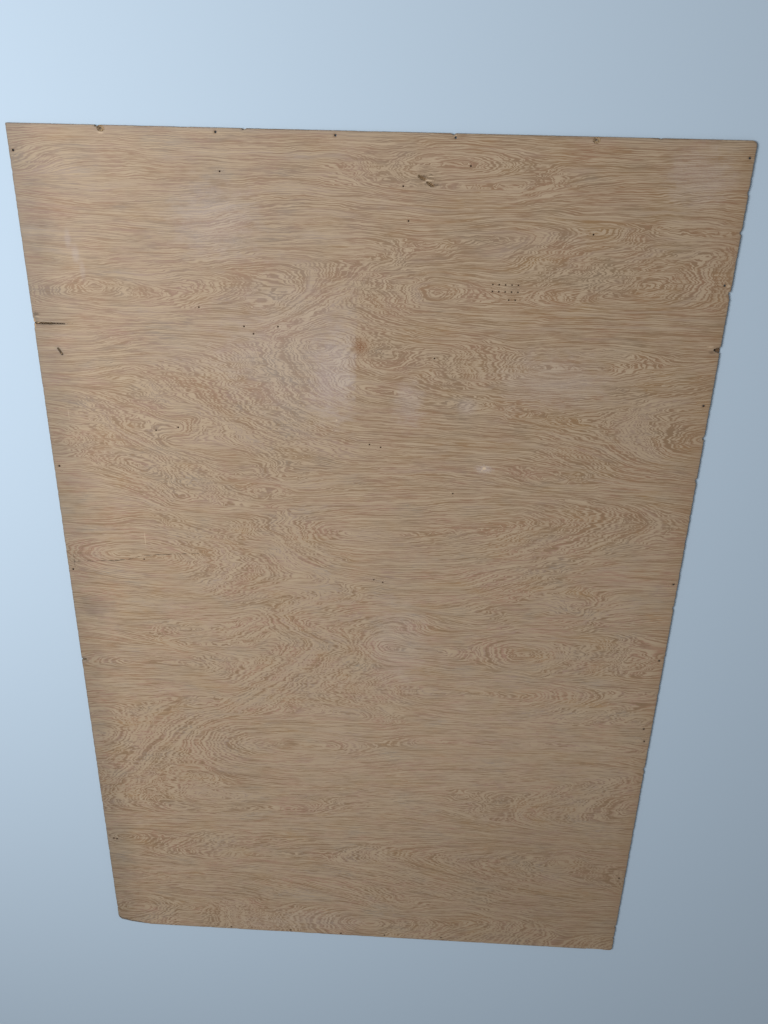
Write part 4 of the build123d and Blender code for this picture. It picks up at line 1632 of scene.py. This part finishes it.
# %% Ridges of dark filling: middle line from the left and top edges, half widths, highest point
# The last one is a wedge of splintered core that the nail left standing
ridges = [
    ([(0.6, 219.8), (6, 219.8), (22.8, 219.8), (37.0, 219.8)], [0.95, 1.0, 0.95, 0.28], 1.3),
    ([(26.0, 250.0), (28.0, 253.5), (30.0, 257.0)], [0.6, 0.84, 0.6], 0.7),
    ([(805.8, 226.0), (807.5, 226.0), (809.4, 226.0)], [1.0, 1.5, 2.0], 1.5),
    ([(7.0, 698.5), (4.0, 698.5), (1.0, 698.5)], [1.0, 1.12, 1.2], 1.3),
    ([(808.2, 226.0), (811.0, 226.0), (812.5, 226.0)], [1.6, 2.6, 3.1], 2.4),
]
wedge = 4
SHADE_FILL_SLOT, SPLINTER_SLOT = range(2)
section_step = 0.45
ridge_sides = 7
gap_fill_foot = 0.03
gap_fill_points, gap_fill_faces, gap_fill_slots = [], [], []


def skin(first, wide, slot):
    """A closed skin over the last points of the filling: rows of points round it, and its two ends.
    """
    for row in range(first, len(gap_fill_points) - wide, wide):
        for k in range(wide):
            after = (k + 1) % wide
            gap_fill_faces.append((row + after, row + k, row + wide + k, row + wide + after))
    gap_fill_faces.append(tuple(range(first, first + wide)))
    gap_fill_faces.append(tuple(reversed(range(len(gap_fill_points) - wide, len(gap_fill_points)))))
    gap_fill_slots.extend([slot] * (len(gap_fill_faces) - len(gap_fill_slots)))


for number, (middle, half_widths, highest) in enumerate(ridges):
    middle = np.array([on_sheet(*p) for p in middle])
    run = along(middle)
    sections = np.linspace(0, run[-1], math.ceil(run[-1] / section_step) + 1)
    line = np.column_stack([np.interp(sections, run, middle[:, axis]) for axis in (0, 1)])
    forward = (middle[-1] - middle[0]) / np.hypot(*(middle[-1] - middle[0]))
    sideways = np.array([-forward[1], forward[0]])
    first = len(gap_fill_points)
    for s, at, half in zip(sections, line, np.interp(sections, run, half_widths)):
        for k in range(ridge_sides):
            share = k / (ridge_sides - 1) * 2 - 1
            rough = 0.62 + 0.38 * float(wander(3.1 * s + 17 * k, 1.3, 90 + number))
            height = highest * rough * (0.7 + 0.3 * share * share)
            gap_fill_points.append((*(at + sideways * half * share), height))
        gap_fill_points += [(*(at + side * sideways * half), gap_fill_foot) for side in (1, -1)]
    skin(first, ridge_sides + 2, SPLINTER_SLOT if number == wedge else SHADE_FILL_SLOT)
print("ridges:", len(ridges), "points:", len(gap_fill_points))

# %% A dark plug in every pin hole, as painted shade
plug_sides = 8
plug_top = 2.0
plug_share = 0.85
pins = [hole for hole in holes if hole["pin"]]
for hole in pins:
    first = len(gap_fill_points)
    for height in (gap_fill_foot, plug_top):
        for k in range(plug_sides):
            angle = 2 * math.pi * k / plug_sides
            spoke = hole["radius"] * plug_share * np.array([math.cos(angle), math.sin(angle)])
            gap_fill_points.append((*(hole["at"] + spoke), height))
    skin(first, plug_sides, SHADE_FILL_SLOT)
gap_fill_mesh = bpy.data.meshes.new("gap_fill")
gap_fill_mesh.from_pydata([tuple(MM * c for c in p) for p in gap_fill_points], [], gap_fill_faces)
gap_fill_mesh.polygons.foreach_set("material_index", gap_fill_slots)
turned_out = bmesh.new()
turned_out.from_mesh(gap_fill_mesh)
bmesh.ops.recalc_face_normals(turned_out, faces=turned_out.faces)
gaps = sum(len(edge.link_faces) != 2 for edge in turned_out.edges)
print("plugs:", len(pins), "dirt faces:", len(turned_out.faces), "open edges:", gaps)
turned_out.to_mesh(gap_fill_mesh)
turned_out.free()
gap_fill_mesh.shade_smooth()

# %% Material: the dark filling, painted shade
painted_shade_fill, t, shader, here = new_material("painted_shade_fill")
fill_grain = noise(t, stretch(t, here, (1 / 0.6, 1 / 0.45, 1 / 0.5)), 3.0, 0.7)
shade_fill_colour = blend(t, ramp(t, fill_grain, -0.9, 1.1), paint(34, 21, 10), paint(76, 52, 29))
feed(t, shader.inputs["Base Color"], shade_fill_colour)
shader.inputs["Roughness"].default_value = 0.95
bump(t, shader, fill_grain, 0.2 * MM)
for material in (painted_shade_fill, bare_core):
    gap_fill_mesh.materials.append(material)
print("slots:", [m.name for m in gap_fill_mesh.materials])
gap_fill = put_in_scene("gap_fill", gap_fill_mesh)
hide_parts("plywood_sheet")
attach(gap_fill, "root")

# %% [markdown]
# ## Floor, light and camera
#
# The photograph was taken in soft daylight from a window at the upper left, so one large
# lamp hangs there and an even sky fills the shadows. Together they light the sheet at about
# the level where a colour looks as it was written. The lamp doesn't reach the far floor, so
# what the camera sees of it and of the sky is kept pale by colour and not by more light.

# %% Floor
half_floor, floor_gap = 6.0, 0.0002
glow_from, glow_to, glow_strength = 1200.0, 2600.0, 0.66
floor_mesh = bpy.data.meshes.new("floor")
shape = bmesh.new()
bmesh.ops.create_grid(shape, x_segments=8, y_segments=8, size=half_floor)
for vert in shape.verts:
    vert.co.z = -floor_gap
shape.to_mesh(floor_mesh)
shape.free()
floor = put_in_scene("floor", floor_mesh)
pale_floor, t, shader, here = new_material("pale_floor")
shader.inputs["Base Color"].default_value = paint(180, 199, 217)
shader.inputs["Roughness"].default_value = 0.9
seen = t.nodes.new("ShaderNodeLightPath").outputs["Is Camera Ray"]
glow = ramp(t, length_of(t, here), glow_from, glow_to, 0.0, glow_strength)
shader.inputs["Emission Color"].default_value = paint(172, 189, 204)
feed(t, shader.inputs["Emission Strength"], sums(t, "MULTIPLY", glow, seen))
floor_mesh.materials.append(pale_floor)
print("floor, m:", 2 * half_floor)

# %% Light
sky_light, sky_colour, sky_as_seen = 0.25, (0.97, 0.985, 1.0, 1.0), paint(188, 203, 216)
lamp_at, aimed_at = Vector((-1.03, 0.655, 1.49)), Vector((-0.04, 0.034, 0.0))
world = bpy.data.worlds.new("even_sky")
bpy.context.scene.world = world
world.use_nodes = True
t = world.node_tree
sky = t.nodes["Background"]
seen = t.nodes.new("ShaderNodeLightPath").outputs["Is Camera Ray"]
feed(t, sky.inputs["Color"], blend(t, seen, sky_colour, sky_as_seen))
feed(t, sky.inputs["Strength"], ramp(t, seen, 0.0, 1.0, sky_light, 1.0))

window = bpy.data.lights.new("window", "AREA")
window.shape, window.size, window.size_y = "RECTANGLE", 0.9, 0.9
window.energy = 33.3
window.color = (1.0, 0.995, 0.985)
window_lamp = put_in_scene("window", window)
window_lamp.location = lamp_at
window_lamp.rotation_euler = (aimed_at - lamp_at).to_track_quat("-Z", "Y").to_euler()
print("lamp, W:", round(window.energy, 1), "at", [round(c, 3) for c in lamp_at])

# %% Camera, solved from the sheet's four corners in the photograph
camera_data = bpy.data.cameras.new("photograph")
camera_data.sensor_fit = "AUTO"
camera_data.sensor_width = 36.0
camera_data.lens = 31.2825
camera = put_in_scene("photograph", camera_data)
camera.location = (0.06065, 0.63634, 1.04065 + top * MM)
camera.rotation_euler = [math.radians(a) for a in (-24.5403, 2.8704, 1.1991)]
bpy.context.scene.camera = camera
bpy.context.scene.view_settings.view_transform = "Standard"
print("camera lens, mm:", round(camera_data.lens, 2))
